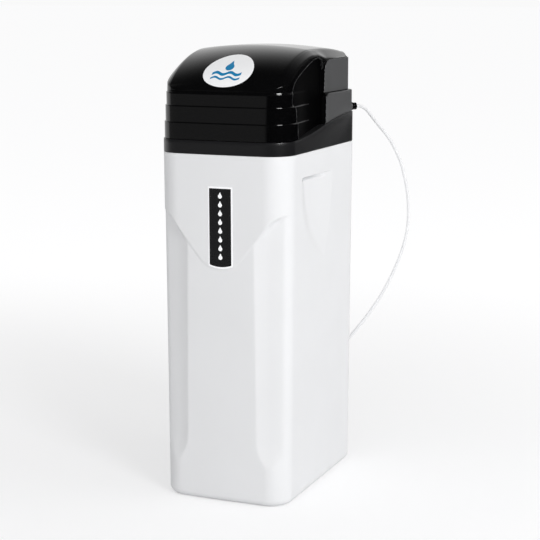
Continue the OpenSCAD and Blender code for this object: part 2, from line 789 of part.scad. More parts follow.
// Resin tank: half ellipses at both ends, with a threaded neck
function dome_points(r, h, z, a0, a1) = [for (i = [0:12]) let (a = a0 + (a1 - a0) * i / 12) [r * cos(a), z + h * sin(a)]];
module resin_tank() {
    inner_r = tank_r - tank_t;
    inner_h = tank_dome - tank_t;
    z_low_dome = z_tank + tank_dome;
    color("steelblue") translate([0, tank_y, 0]) rotate_extrude() polygon(concat(
        dome_points(tank_r, tank_dome, z_low_dome, -90, 0),
        dome_points(tank_r, tank_dome, z_tank_dome, 0, acos(neck_r / tank_r)),
        [[neck_r, z_neck], [neck_bore_r, z_neck]],
        dome_points(inner_r, inner_h, z_tank_dome, acos(neck_bore_r / inner_r), 0),
        dome_points(inner_r, inner_h, z_low_dome, 0, -90)));
}
boot_rise = 14;
module tank_boot() {
    boot_r = tank_r + loose_fit + boot_t;
    bevel = foot_r - wall;
    rib = tank_r * 0.78;
    rib_z = z_tank + tank_dome * (1 - sqrt(1 - pow(rib / tank_r, 2))) - seat_gap;
    color("dimgray") translate([0, tank_y, 0]) difference() {
        union() {
            rotate_extrude() polygon([[rib - 2 * boot_t, floor_t], [boot_r - bevel, floor_t],
                [boot_r, floor_t + bevel], [boot_r, z_tank + tank_dome + boot_rise],
                [boot_r - boot_t, z_tank + tank_dome + boot_rise], [boot_r - boot_t, floor_t + bevel],
                [boot_r - bevel - boot_t, floor_t + boot_t], [rib - 2 * boot_t, floor_t + boot_t]]);
            ring_z(0, 0, floor_t, rib_z, rib + boot_t, rib - boot_t);
        }
        rotate_extrude() polygon(concat([[0, z_tank - seat_gap]],
            dome_points(tank_r + seat_gap, tank_dome + seat_gap, z_tank + tank_dome, -89, 0),
            [[0, z_tank + tank_dome]]));
    }
}
strainer_r = 24;
strainer_h = 50;
riser_t = 2.8;
riser_grip = 20;
riser_top = z_flange + 24;
function tank_floor(r) = z_tank + tank_dome - (tank_dome - tank_t) * sqrt(1 - pow(r / (tank_r - tank_t), 2));
z_strainer = tank_floor(strainer_r) + loose_fit;
module riser_tube() {
    color("white") ring_z(0, tank_y, z_strainer + strainer_h - riser_grip, riser_top, riser_r, riser_r - riser_t);
}
module slots(n, z0, z1, r) {
    for (i = [0:n - 1]) rotate([0, 0, 360 * i / n]) block([r - 6, -1.2, z0], [r + 1, 1.2, z1]);
}
module lower_strainer() {
    color("white") translate([0, tank_y, z_strainer]) difference() {
        cylinder(r = strainer_r, h = strainer_h);
        translate([0, 0, strainer_h - riser_grip]) cylinder(r = riser_r + run_fit, h = riser_grip + 1);
        translate([0, 0, 6]) cylinder(r = riser_r - riser_t, h = strainer_h);
        slots(12, 8, strainer_h - riser_grip - 4, strainer_r);
    }
}
upper_h = 26;
upper_r = neck_bore_r - 3;
module upper_strainer() {
    color("white") translate([0, tank_y, z_flange - spigot_len - upper_h]) difference() {
        cylinder(r = upper_r, h = upper_h);
        translate([0, 0, -1]) cylinder(r = riser_r + loose_fit, h = upper_h + 2);
        slots(12, 5, upper_h - 5, upper_r);
    }
}
module tank_seal() {
    color("dimgray") ring_z(0, tank_y, z_neck, z_flange, neck_r - 1, neck_bore_r + 1.5);
}

// Control valve
flange_t = 11;
spigot_r = neck_bore_r - loose_fit;
column_r = 30;
block_half = port_gap / 2 + 18;
block_y = tank_y + 15;
module valve_body() {
    color("dimgray") difference() {
        union() {
            rod_z(0, tank_y, z_flange - spigot_len, z_flange + 1, spigot_r);
            rod_z(0, tank_y, z_flange, z_flange + flange_t, neck_r + 4);
            rod_z(0, tank_y, z_flange, vz, column_r);
            rod_y(0, vz, valve_front, valve_rear, barrel_r);
            rod_y(0, vz, valve_front, valve_front + barrel_flange_t, barrel_flange_r);
            block([-block_half, block_y, pz - 27], [block_half, valve_rear, pz + 27]);
            for (s = [-1, 1]) rod_y(s * port_gap / 2, pz, valve_rear - 1, valve_rear + boss_len, boss_r);
            rod_x(side_y, vz, -side_boss_x, side_boss_x, side_boss_r);
        }
        rod_y(0, vz, valve_front - 1, seal_front + seal_len, seal_r + screw_fit);
        rod_z(0, tank_y, z_flange - spigot_len - 1, z_flange, neck_bore_r - 7);
        rod_z(0, tank_y, z_flange - 1, vz, riser_r + loose_fit);
        for (s = [-1, 1]) rod_y(s * port_gap / 2, pz, block_y + 8, valve_rear + boss_len + 1, port_bore_r);
        rod_x(valve_rear - 22, pz - 8, -port_gap / 2, port_gap / 2, 8);
        rod_x(side_y, vz, -side_boss_x - 1, side_boss_x + 1, drain_bore_r);
        for (a = [45:90:315]) rod_y(plate_screw_off * sign(cos(a)), vz + plate_screw_off * sign(sin(a)),
            valve_front - 1, valve_front + barrel_flange_t + 1, screw_r + screw_fit);
    }
}
module seal_stack() {
    color("dimgray") difference() {
        ring_y(0, vz, seal_front, seal_front + seal_len, seal_r, seal_bore_r);
        for (i = [1:4]) rod_z(0, seal_front + seal_len * i / 5, vz - far, vz + far, 4);
    }
}
land_w = 10;
rod_front = gear_y - piston_travel - 12;
module main_piston() {
    color("white") {
        for (i = [0:2]) rod_y(0, vz, piston_front + (piston_len - land_w) * i / 2,
            piston_front + (piston_len - land_w) * i / 2 + land_w, piston_r);
        rod_y(0, vz, piston_front, piston_front + piston_len, piston_r - 4);
        rod_y(0, vz, rod_front, piston_front + 1, rod_r);
    }
}

// Drive: plate, gears in mesh along one level line, and the motor behind the plate
function gear_points(n, turn) = let (
    pitch = gear_module * n / 2, root = pitch - 1.15 * gear_module, tip = pitch + 0.85 * gear_module,
    root_a = 57.3 * 1.02 * gear_module / root, tip_a = 57.3 * 0.3 * gear_module / tip
) [for (i = [0:n - 1], k = [0:3]) let (
    a = turn + 360 * i / n + [-root_a, -tip_a, tip_a, root_a][k], r = k == 0 || k == 3 ? root : tip
) [r * cos(a), r * sin(a)]];
module gear(n, x, turn) { translate([x, 0, vz]) front_view(gear_points(n, turn), gear_y, gear_y + gear_t); }
module plate_holes(fit) {
    for (a = [45:90:315]) rod_y(plate_screw_off * sign(cos(a)), vz + plate_screw_off * sign(sin(a)),
        plate_y - 1, valve_front + 1, screw_r + fit);
    for (s = [-1, 1]) rod_y(pinion_x, vz + s * motor_screw_off, plate_y - 1, valve_front + 1, screw_r + fit);
}
module drive_plate() {
    half = cover_half - cover_t - loose_fit;
    color("gray") difference() {
        union() {
            block([-half, plate_y, plate_low], [half, valve_front, plate_high]);
            rod_y(idler_x, vz, gear_y - 1, plate_y + 1, idler_axle_r);
        }
        rod_y(0, vz, plate_y - 1, valve_front + 1, hub_r + run_fit);
        rod_y(pinion_x, vz, plate_y - 1, valve_front + 1, shaft_r + loose_fit);
        plate_holes(screw_fit);
    }
}
module plate_screws() {
    color("silver") for (a = [45:90:315])
        translate([plate_screw_off * sign(cos(a)), plate_y, vz + plate_screw_off * sign(sin(a))])
            rotate([90, 0, 0]) screw(screw_r, plate_t + barrel_flange_t - 1);
}
module drive_gear() {
    color("white") difference() {
        union() {
            gear(drive_teeth, 0, 0);
            rod_y(0, vz, gear_y + gear_t - 1, valve_front, hub_r);
        }
        rod_y(0, vz, gear_y - 1, valve_front + 1, rod_r + loose_fit + 0.1);
    }
}
module reduction_gear() {
    color("white") difference() {
        gear(idler_teeth, idler_x, 180 / idler_teeth);
        rod_y(idler_x, vz, gear_y - 1, gear_y + gear_t + 1, idler_axle_r + run_fit);
    }
}
module motor_pinion() {
    color("gold") union() {
        gear(pinion_teeth, pinion_x, 0);
        rod_y(pinion_x, vz, gear_y, gear_y + gear_t + shaft_len, shaft_r);
    }
}
module drive_motor() {
    color("silver") difference() {
        union() {
            rod_y(pinion_x, vz, valve_front, valve_front + motor_len, motor_r);
            block([pinion_x - 8, valve_front, vz - motor_screw_off - 6],
                [pinion_x + 8, valve_front + motor_flange_t, vz + motor_screw_off + 6]);
        }
        rod_y(pinion_x, vz, valve_front - 1, gear_y + gear_t + shaft_len + 1, shaft_r + run_fit);
        for (s = [-1, 1]) rod_y(pinion_x, vz + s * motor_screw_off, valve_front - 1,
            valve_front + motor_flange_t + 1, screw_r + screw_fit);
    }
}
module motor_screws() {
    color("silver") for (s = [-1, 1]) translate([pinion_x, plate_y, vz + s * motor_screw_off])
        rotate([90, 0, 0]) screw(screw_r, plate_t + motor_flange_t + 2);
}

// Side fittings of the valve and its pipe ports
module injector_cap() {
    color("dimgray") difference() {
        union() {
            rod_x(side_y, vz, side_boss_x, side_boss_x + 8, side_boss_r + 1);
            rod_x(side_y, vz, side_boss_x + 7, side_boss_x + 22, line_r + 1);
        }
        rod_x(side_y, vz, side_boss_x - 1, side_boss_x + 23, line_r - 1.5);
    }
}
module adapter(x) {
    start = valve_rear + boss_len + washer_t;
    difference() {
        union() {
            rod_y(x, pz, start, start + 4, boss_r - 0.5);
            rod_y(x, pz, start, port_end, port_bore_r + 2);
            rod_y(x, pz, port_end - thread_len, port_end, port_r);
        }
        rod_y(x, pz, start - 1, port_end + 1, port_bore_r);
    }
}
module inlet_adapter() { color("dimgray") adapter(port_gap / 2); }
module outlet_adapter() { color("dimgray") adapter(-port_gap / 2); }
module union_nuts() {
    start = valve_rear + 2;
    shoulder = valve_rear + boss_len + washer_t + 4;
    color("black") for (s = [-1, 1]) difference() {
        rod_y(s * port_gap / 2, pz, start, shoulder + 5, boss_r + 5);
        rod_y(s * port_gap / 2, pz, start - 1, shoulder + seat_gap, boss_r + screw_fit);
        rod_y(s * port_gap / 2, pz, start, shoulder + 6, port_bore_r + 2 + loose_fit);
    }
}
module port_washers() {
    color("dimgray") for (s = [-1, 1])
        ring_y(s * port_gap / 2, pz, valve_rear + boss_len, valve_rear + boss_len + washer_t, boss_r - 1, port_bore_r);
}
cage_t = 1;
axle_r = 1.5;
module turbine_cage() {
    x = -port_gap / 2;
    color("white") union() {
        ring_y(x, pz, turbine_y, turbine_y + turbine_len, port_bore_r - screw_fit, port_bore_r - cage_t);
        for (a = [0:60:120]) translate([x, 0, pz]) rotate([0, a, 0])
            block([cage_t / 2 - port_bore_r, turbine_y, -1], [port_bore_r - cage_t / 2, turbine_y + 3, 1]);
        rod_y(x, pz, turbine_y, turbine_y + turbine_len - 6, axle_r);
    }
}
module meter_turbine() {
    x = -port_gap / 2;
    low = turbine_y + 3 + loose_fit;
    blade = port_bore_r - cage_t - 0.6;
    color("royalblue") difference() {
        union() {
            rod_y(x, pz, low, low + 16, axle_r + 2);
            for (a = [0:45:135]) translate([x, 0, pz]) rotate([0, a, 0])
                block([-blade, low + 2, -0.6], [blade, low + 14, 0.6]);
        }
        rod_y(x, pz, low - 1, low + 17, axle_r + run_fit);
    }
}
module drain_elbow() {
    color("dimgray") difference() {
        union() {
            rod_x(side_y, vz, drain_x, -side_boss_x, drain_r);
            translate([drain_x, side_y, vz]) sphere(r = drain_r);
            rod_y(drain_x, vz, side_y, port_end - hose_end, drain_r - 1);
            rod_y(drain_x, vz, port_end - hose_end - 1, port_end, drain_r - 1.5);
        }
        rod_x(side_y, vz, drain_x, 0, drain_bore_r);
        rod_y(drain_x, vz, side_y, port_end + 1, drain_bore_r);
    }
}

// Powerhead cover, with the control panel on its slope
function cover_points(g) = [
    [valve_front + 1, plate_low - cover_t + g], [cover_y + g, plate_low - cover_t + g],
    [cover_y + g, plate_low - cover_t + cover_knee - g * tan(cover_slope / 2)],
    [plate_y - cover_brow + g * tan(cover_slope / 2), plate_high + cover_t - g], [valve_front + 1, plate_high + cover_t - g]];
module on_panel() { translate([0, panel_mid_y, panel_mid_z]) rotate([cover_slope, 0, 0]) children(); }
module powerhead_cover() {
    color("dimgray") difference() {
        side_view(cover_points(0), -cover_half, cover_half);
        side_view(cover_points(cover_t), cover_t - cover_half, cover_half - cover_t);
        block([cover_t - cover_half, plate_y - 1, plate_low - loose_fit], [cover_half - cover_t, far, plate_high + loose_fit]);
        block([-cab_w, valve_front, 0], [cab_w, far, far]);
        on_panel() block([panel_seat - panel_w / 2, panel_seat - panel_h / 2, -far / 60],
            [panel_w / 2 - panel_seat, panel_h / 2 - panel_seat, 2]);
    }
}
function button_x(i) = (i - (button_n - 1) / 2) * button_pitch;
module panel_bezel() {
    post = board_gap;
    color("black") on_panel() difference() {
        union() {
            block([-panel_w / 2, -panel_h / 2, 0], [panel_w / 2, panel_h / 2, panel_t]);
            for (x = [-1, 1], y = [-1, 1]) translate([x * (panel_w / 2 - 14), y * (panel_h / 2 - 12), -post])
                cylinder(r = 3, h = post + 1);
        }
        translate([0, window_row, 0]) {
            block([-window_w / 2, -window_h / 2, panel_t - window_t], [window_w / 2, window_h / 2, panel_t + 1]);
            block([3 - window_w / 2, 3 - window_h / 2, -1], [window_w / 2 - 3, window_h / 2 - 3, panel_t + 1]);
        }
        for (i = [0:button_n - 1]) translate([button_x(i), button_row, -1]) cylinder(r = button_r + loose_fit, h = panel_t + 2);
    }
}
module display_window() {
    color("darkslategray") on_panel() translate([0, window_row, 0])
        block([seat_gap - window_w / 2, seat_gap - window_h / 2, panel_t - window_t],
            [window_w / 2 - seat_gap, window_h / 2 - seat_gap, panel_t]);
}
module circuit_board() {
    color("darkgreen") on_panel() {
        block([8 - panel_w / 2, 7 - panel_h / 2, -board_gap - board_t], [panel_w / 2 - 8, panel_h / 2 - 7, -board_gap]);
        for (i = [0:button_n - 1]) translate([button_x(i) - 3, button_row - 3, -board_gap - 0.5])
            cube([6, 6, board_gap - button_flange - button_travel - loose_fit + 0.5 - 3]);
        block([-window_w / 2 + 5, window_row - window_h / 2 + 5, -board_gap - 0.5],
            [window_w / 2 - 5, window_row + window_h / 2 - 5, -3]);
    }
}
module button(i) {
    color("lightgray") on_panel() translate([button_x(i), button_row, 0]) {
        translate([0, 0, -button_flange - seat_gap]) cylinder(r = button_r, h = panel_t + button_up + button_flange);
        translate([0, 0, -button_flange - seat_gap]) cylinder(r = button_r + 2, h = button_flange);
        translate([0, 0, -button_flange - 3]) cylinder(r = 2, h = 4);
    }
}
module button_1() { button(0); }
module button_2() { button(1); }
module button_3() { button(2); }
module button_4() { button(3); }
module power_inlet() {
    rear = half_d - band_step;
    color("dimgray") difference() {
        union() {
            rod_y(inlet_x, inlet_z, rear - 14, rear + 1, inlet_r);
            rod_y(inlet_x, inlet_z, rear, rear + 2, inlet_r + 2);
        }
        rod_y(inlet_x, inlet_z, rear - 10, rear + 3, 3.2);
    }
}

// Brine side
well_slot_up = 20;
well_slot_h = 40;
well_slot_w = 6;
cap_lip = 8;
cap_knob_h = 12;
cap_knob_r = 7;
module brine_well() {
    color("white") difference() {
        rod_z(well_x, well_y, floor_t, z_well, well_r);
        rod_z(well_x, well_y, floor_t + well_t, z_well + 1, well_r - well_t);
        for (a = [0, 90]) translate([well_x, well_y, floor_t + well_slot_up]) rotate([0, 0, a + 45])
            block([-well_r - 1, -well_slot_w / 2, 0], [well_r + 1, well_slot_w / 2, well_slot_h]);
        rod_y(well_x, well_line_start.z, well_y, well_y + well_r + 1, line_r + loose_fit);
    }
}
module well_cap() {
    color("white") union() {
        rod_z(well_x, well_y, z_well, z_well + cap_t, well_r + 2);
        ring_z(well_x, well_y, z_well - cap_lip, z_well + 1, well_r - well_t - loose_fit, well_r - 2 * well_t - loose_fit);
        rod_z(well_x, well_y, z_well, z_well + cap_t + cap_knob_h, cap_knob_r);
    }
}
module safety_valve() {
    color("white") difference() {
        union() {
            rod_z(well_x, well_y, z_safety, z_safety + safety_len, safety_r);
            rod_z(well_x, well_y, floor_t + well_t + air_check_len, z_safety + 1, draw_r);
            rod_z(well_x, well_y, floor_t + float_stop - 6, floor_t + float_stop, stop_r);
            rod_y(well_x, well_line_start.z, well_y, well_line_start.y, line_r + 2);
            rod_x(well_y, z_safety + safety_len / 2, well_x - well_r + well_t + loose_fit, well_x, 3);
        }
        rod_z(well_x, well_y, floor_t, z_safety + safety_len / 2, draw_r - 2);
        rod_y(well_x, well_line_start.z, well_y, well_line_start.y + 1, line_r - 1);
    }
}
module float() {
    color("orange") ring_z(well_x, well_y, floor_t + float_stop + seat_gap, floor_t + float_stop + seat_gap + float_h,
        float_r, draw_r + loose_fit);
}
module air_check() {
    low = floor_t + well_t;
    color("gray") difference() {
        rod_z(well_x, well_y, low, low + air_check_len, air_check_r);
        rod_z(well_x, well_y, low + 6, low + air_check_len - 6, ball_r + 3);
        rod_z(well_x, well_y, low + 6, low + air_check_len + 1, draw_r - 2);
        for (a = [0:90:270]) translate([well_x, well_y, low + 10]) rotate([0, 0, a])
            block([0, -3, 0], [air_check_r + 1, 3, 14]);
    }
}
module check_ball() {
    color("white") translate([well_x, well_y, floor_t + well_t + 6 + ball_r + seat_gap]) sphere(r = ball_r);
}
// Slotted plate under the salt, on four legs in front of the tank
salt_edge = 14;
salt_leg_r = 8;
salt_slot_pitch = 20;
salt_slot_w = 6;
salt_slot_len = 90;
salt_slot_front = 52.5;
module salt_plate() {
    z0 = floor_t + salt_plate_h;
    rear = tank_y - tank_r + 40;
    color("white") difference() {
        union() {
            intersection() {
                band(draft + wall + salt_edge, z0, z0 + salt_plate_t);
                block([-cab_w, -cab_d, 0], [cab_w, rear, cab_h]);
            }
            for (p = [[65, 152.5], [120, 62.5], [195, 92.5], [175, 167.5]])
                rod_z(p.x - half_w, p.y - half_d, floor_t, z0 + 1, salt_leg_r);
        }
        rod_z(0, tank_y, floor_t, cab_h, tank_r + boot_t + 4);
        rod_z(well_x, well_y, floor_t, cab_h, well_r + 1);
        flutes(wall + 2);
        for (i = [-5:1]) translate([i * salt_slot_pitch, salt_slot_front - half_d, z0 - 1])
            block([0, 0, 0], [salt_slot_w, salt_slot_len, salt_plate_t + 2]);
    }
}
module overflow_elbow() {
    y0 = back_y(overflow_z + overflow_hole_r + overflow_flange);
    ym = y0 + overflow_out;
    bore_r = overflow_hole_r - overflow_t;
    color("white") difference() {
        union() {
            rod_y(overflow_x, overflow_z, y0 - overflow_in, y0 + 1, overflow_hole_r);
            rod_y(overflow_x, overflow_z, y0, y0 + 3, overflow_hole_r + overflow_flange);
            rod_y(overflow_x, overflow_z, y0, ym, overflow_hole_r);
            translate([overflow_x, ym, overflow_z]) sphere(r = overflow_hole_r + 0.6);
            rod_z(overflow_x, ym, overflow_z - overflow_drop, overflow_z, overflow_hole_r);
            rod_z(overflow_x, ym, overflow_z - overflow_drop - hose_end, overflow_z, overflow_hole_r - 1.5);
        }
        rod_y(overflow_x, overflow_z, y0 - overflow_in - 1, ym + bore_r, bore_r);
        rod_z(overflow_x, ym, overflow_z - overflow_drop - hose_end - 1, overflow_z, bore_r - 0.4);
    }
}
module overflow_nut() {
    y0 = back_y(overflow_z) - wall - 0.5;
    color("white") ring_y(overflow_x, overflow_z, y0 - 7, y0, overflow_hole_r + 6, overflow_hole_r + screw_fit);
}

// Brine line with its gland on the housing and its elbow on the cabinet
module at_gland(up) { translate(gland_mid) rotate([0, 0, gland_turn]) rotate([0, 90, 0]) translate([0, 0, up]) children(); }
module line_gland() {
    color("black") difference() {
        union() {
            at_gland(gland_seat - gland_in) cylinder(r = gland_hole_r, h = gland_in + 1);
            at_gland(gland_seat) cylinder(r = gland_hole_r + 4, h = gland_flange);
            at_gland(gland_seat) cylinder(r = gland_hole_r - 1, h = gland_flange + gland_nut_len - 2);
        }
        at_gland(0) cylinder(r = line_r - 1, h = rear_r * 2);
    }
}
module line_gland_nut() {
    color("black") difference() {
        at_gland(gland_seat + gland_flange) cylinder(r = gland_hole_r + 2, h = gland_nut_len);
        at_gland(gland_seat + gland_flange - 1) cylinder(r = gland_hole_r - 1 + screw_fit, h = gland_nut_len - 1);
        at_gland(0) cylinder(r = line_r - 1, h = rear_r * 2);
    }
}
module line_elbow() {
    color("white") difference() {
        union() {
            rod_y(line_x, line_z, elbow_y - elbow_in, elbow_y + 1, elbow_hole_r);
            rod_y(line_x, line_z, elbow_y, elbow_y + elbow_flange_t, elbow_hole_r + elbow_flange);
            rod_y(line_x, line_z, elbow_y, elbow_y + elbow_out, elbow_hole_r + 1);
            translate(elbow_mid) sphere(r = elbow_hole_r + elbow_knuckle);
            translate(elbow_mid) rotate([0, elbow_turn, 0]) cylinder(r = elbow_hole_r + 1, h = elbow_arm);
        }
        rod_y(line_x, line_z, elbow_y - elbow_in - 1, elbow_y + elbow_out + elbow_bore_r, elbow_bore_r);
        translate(elbow_mid) rotate([0, elbow_turn, 0]) cylinder(r = elbow_bore_r - 0.4, h = elbow_arm + 1);
    }
}
module line_elbow_nut() {
    y0 = back_y(line_z) - wall - 0.5;
    color("white") ring_y(line_x, line_z, y0 - 6, y0, elbow_hole_r + 5, elbow_hole_r + screw_fit);
}

// Tube swept along a smooth curve through the points of a route
line_sides = 10;
function unit(v) = v / norm(v);
function spline(a, b, c, d, t) = 0.5 * (2 * b + (c - a) * t + (2 * a - 5 * b + 4 * c - d) * t * t
    + (3 * b - a - 3 * c + d) * t * t * t);
function smooth(p) = let (n = len(p) - 1) concat(
    [for (i = [0:n - 1], t = [0, 0.5]) spline(p[max(i - 1, 0)], p[i], p[i + 1], p[min(i + 2, n)], t)], [p[n]]);
function heading(p, i) = unit(p[min(i + 1, len(p) - 1)] - p[max(i - 1, 0)]);
function ring(p, i, r, across) = let (u = unit(cross(heading(p, i), across)), v = cross(heading(p, i), u))
    [for (k = [0:line_sides - 1]) p[i] + r * (cos(360 * k / line_sides) * u + sin(360 * k / line_sides) * v)];
module tube(route, r, across) {
    p = smooth(route);
    n = len(p);
    s = line_sides;
    polyhedron(
        points = [for (i = [0:n - 1]) each ring(p, i, r, across)],
        faces = concat([[for (k = [s - 1:-1:0]) k]],
            [for (i = [0:n - 2], k = [0:s - 1], h = [0, 1]) let (a = i * s + k, b = i * s + (k + 1) % s)
                h == 0 ? [a, b, b + s] : [a, b + s, a + s]],
            [[for (k = [0:s - 1]) (n - 1) * s + k]]));
}
module brine_line() { color("white") tube(line_route, line_r, [0, 1, 0]); }
module valve_line() { color("white") tube(valve_line_route, line_r, [0, 0, 1]); }
module well_line() { color("white") tube(well_line_route, line_r, [1, 0, 0]); }

cabinet();
collar();
collar_screws();
rear_housing();
housing_screws();
lid();
lid_badge();
lid_hinge_pins();
lid_bumpers();
front_label();
resin_tank();
tank_boot();
riser_tube();
lower_strainer();
upper_strainer();
tank_seal();
valve_body();
seal_stack();
main_piston();
drive_plate();
plate_screws();
drive_gear();
reduction_gear();
motor_pinion();
drive_motor();
motor_screws();
injector_cap();
inlet_adapter();
outlet_adapter();
union_nuts();
port_washers();
turbine_cage();
meter_turbine();
drain_elbow();
powerhead_cover();
panel_bezel();
display_window();
circuit_board();
button_1();
button_2();
button_3();
button_4();
power_inlet();
brine_well();
well_cap();
safety_valve();
float();
air_check();
check_ball();
salt_plate();
overflow_elbow();
overflow_nut();
line_gland();
line_gland_nut();
line_elbow();
line_elbow_nut();
brine_line();
valve_line();
well_line();
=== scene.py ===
"""Dresses the frame of a cabinet water softener: moulded shells, fittings, finishes and a studio."""

import math

import bmesh
import bpy
import numpy as np
from bpy.props import FloatProperty, FloatVectorProperty, PointerProperty
from mathutils import Matrix, Vector


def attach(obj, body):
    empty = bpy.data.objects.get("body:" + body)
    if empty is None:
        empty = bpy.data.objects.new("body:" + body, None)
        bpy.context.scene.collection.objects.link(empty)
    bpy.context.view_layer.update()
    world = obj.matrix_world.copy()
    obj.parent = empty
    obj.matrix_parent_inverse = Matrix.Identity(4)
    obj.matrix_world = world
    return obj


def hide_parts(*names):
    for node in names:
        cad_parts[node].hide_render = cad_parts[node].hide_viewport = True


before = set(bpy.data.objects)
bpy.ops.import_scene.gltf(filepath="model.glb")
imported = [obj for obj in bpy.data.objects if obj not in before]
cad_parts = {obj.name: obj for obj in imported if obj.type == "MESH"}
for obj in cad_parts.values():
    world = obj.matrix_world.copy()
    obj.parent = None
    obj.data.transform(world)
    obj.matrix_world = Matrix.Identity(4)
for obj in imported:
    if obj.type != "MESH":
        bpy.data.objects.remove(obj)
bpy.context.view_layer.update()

bl_info = {
    "name": "Cabinet Water Softener",
    "version": (1, 0, 0),
    "blender": (4, 5, 0),
    "location": "View3D > Sidebar > Softener",
    "description": "Builds the shells, fittings and finishes of a cabinet water softener on its frame",
    "category": "Object",
}

MM = 0.001
FULL_LIGHT, NO_LIGHT = (1.0, 1.0, 1.0), (0.0, 0.0, 0.0)


def length(name, description, default):
    """A size in metres that a user may change."""
    return FloatProperty(name=name, description=description, default=default, unit="LENGTH")


def colour(name, description, default):
    """A linear colour that a user may change."""
    return FloatVectorProperty(name=name, description=description, default=default,
                               size=3, subtype="COLOR", min=0, max=1)


def power(name, description, default):
    """The power of a lamp, in watts, that a user may change."""
    return FloatProperty(name=name, description=description, default=default, unit="POWER")


class SoftenerSizes(bpy.types.PropertyGroup):
    """Sizes of the moulded shells."""

    width: length("Width", "Width of the cabinet at its rim", 0.330)
    depth: length("Depth", "Depth of the cabinet at its rim", 0.485)
    rim: length("Rim height", "Height of the cabinet rim above the floor", 0.835)
    front_radius: length("Front corner radius", "Radius of the two front corners", 0.058)
    rear_radius: length("Rear corner radius", "Radius of the two rear corners", 0.048)
    lean: length("Wall lean", "How far each wall leans in between the rim and the floor", 0.005)
    foot: length("Foot radius", "Radius round the foot of the cabinet", 0.018)
    bow: length("Front bow", "How far the front wall bows out between its corners", 0.004)
    wall: length("Cabinet wall", "Thickness of the cabinet wall", 0.004)
    shell: length("Head wall", "Thickness of the lid and housing walls", 0.003)
    shield_low: length("Shield point", "Height of the lowest point of the shield edge", 0.568)
    shield_top: length("Shield shoulder", "Height where the shield edge runs level", 0.698)
    panel_step: length("Panel step", "Step of the panel under the shield edge", 0.0016)
    flute_radius: length("Flute radius", "Radius of the hollow flutes in the front corners", 0.185)
    flute_end: length("Flute end", "Height where the flutes start to run out", 0.158)
    handle_catch: length("Handle catch", "Extra depth of the finger groove under the handle's top edge", 0.012)
    handle_depth: length("Handle depth", "Depth of the side handles under their top edge", 0.0165)
    handle_top: length("Handle top", "Height of the top edge of the side handles", 0.778)
    band_step: length("Band step", "How far each band of the lid steps in", 0.0025)
    dome_base: length("Dome base", "Height of the lower edge of the dome", 0.976)
    dome_height: length("Dome height", "Height of the dome over its lower edge", 0.104)
    tube: length("Tube diameter", "Outside diameter of the brine line", 0.008)


class SoftenerColours(bpy.types.PropertyGroup):
    """Colours of the main finishes."""

    white: colour("White shell", "Fine-textured cabinet plastic", (0.84, 0.845, 0.855))
    black: colour("Gloss black", "Polished plastic of the lid", (0.0014, 0.0014, 0.0016))
    satin: colour("Satin black", "Plastic of the rear housing", (0.085, 0.086, 0.088))
    collar: colour("Collar black", "Plastic of the collar", (0.011, 0.011, 0.012))
    foil: colour("Foil white", "Ground of the badge and border of the label", (0.93, 0.935, 0.945))
    mark: colour("Mark blue", "Waves and drop on the badge", (0.008, 0.24, 0.5))
    ink: colour("Label black", "Ground of the front label", (0.006, 0.006, 0.007))
    tube: colour("Tube white", "Milky brine line", (0.75, 0.755, 0.76))
    tank: colour("Tank blue", "Wound resin tank", (0.05, 0.13, 0.3))
    floor: colour("Floor", "Studio floor", (0.82, 0.82, 0.83))


class SoftenerStudio(bpy.types.PropertyGroup):
    """Camera and lights of the studio."""

    lens: FloatProperty(name="Lens", description="Focal length of the camera", default=100.0, unit="CAMERA")
    key: power("Key light", "Power of the far light that casts the shadow", 250.0)
    glint: power("Glint light", "Power of the small light that only reflections show", 60.0)
    side: power("Side light", "Power of the soft light at the right side", 16.0)
    fill: power("Fill light", "Power of the soft light at the front", 20.0)
    ambient: FloatProperty(name="Ambient", description="Even light from the room", default=0.55, min=0.0)


# Sums and lines

def mm(value):
    """Metres to millimetres."""
    return value / MM


def smooth(t):
    """Eased step from 0 to 1."""
    t = np.clip(t, 0.0, 1.0)
    return t * t * (3 - 2 * t)


def above_zero(t, ease):
    """t where it is positive, else 0, with a soft turn."""
    return 0.5 * (t + np.sqrt(t * t + ease * ease))


def lower_of(a, b, ease):
    """The lower of two heights, with a soft crease between them."""
    return 0.5 * (a + b - np.sqrt((a - b) ** 2 + ease * ease))


def runs(*pieces):
    """Values along runs of (start, stop, step), each end once."""
    values = []
    for start, stop, step in pieces:
        count = max(1, round(abs(stop - start) / step))
        values.extend(start + (stop - start) * i / count for i in range(count))
    return values + [pieces[-1][1]]


def smooth_line(knots, steps):
    """Smooth line through points, with steps between each two."""
    knots = [np.array(k, float) for k in knots]
    last = len(knots) - 1
    line = []
    for i in range(last):
        a, b, c, d = knots[max(i - 1, 0)], knots[i], knots[i + 1], knots[min(i + 2, last)]
        for t in (k / steps for k in range(steps)):
            line.append(0.5 * (2 * b + (c - a) * t + (2 * a - 5 * b + 4 * c - d) * t * t
                               + (3 * b - a - 3 * c + d) * t ** 3))
    return np.array(line + [knots[-1]])


def side_of(line, y, z):
    """Distance to a line, positive on its right-hand side."""
    best = np.full(y.shape, np.inf)
    sign = np.ones(y.shape)
    for (ay, az), (by, bz) in zip(line[:-1], line[1:]):
        ey, ez = by - ay, bz - az
        t = np.clip(((y - ay) * ey + (z - az) * ez) / (ey * ey + ez * ez), 0, 1)
        gap = np.hypot(y - ay - t * ey, z - az - t * ez)
        near = gap < best
        best = np.where(near, gap, best)
        sign = np.where(near, np.sign((y - ay) * ez - (z - az) * ey), sign)
    return best * sign


# Plan outline of the cabinet

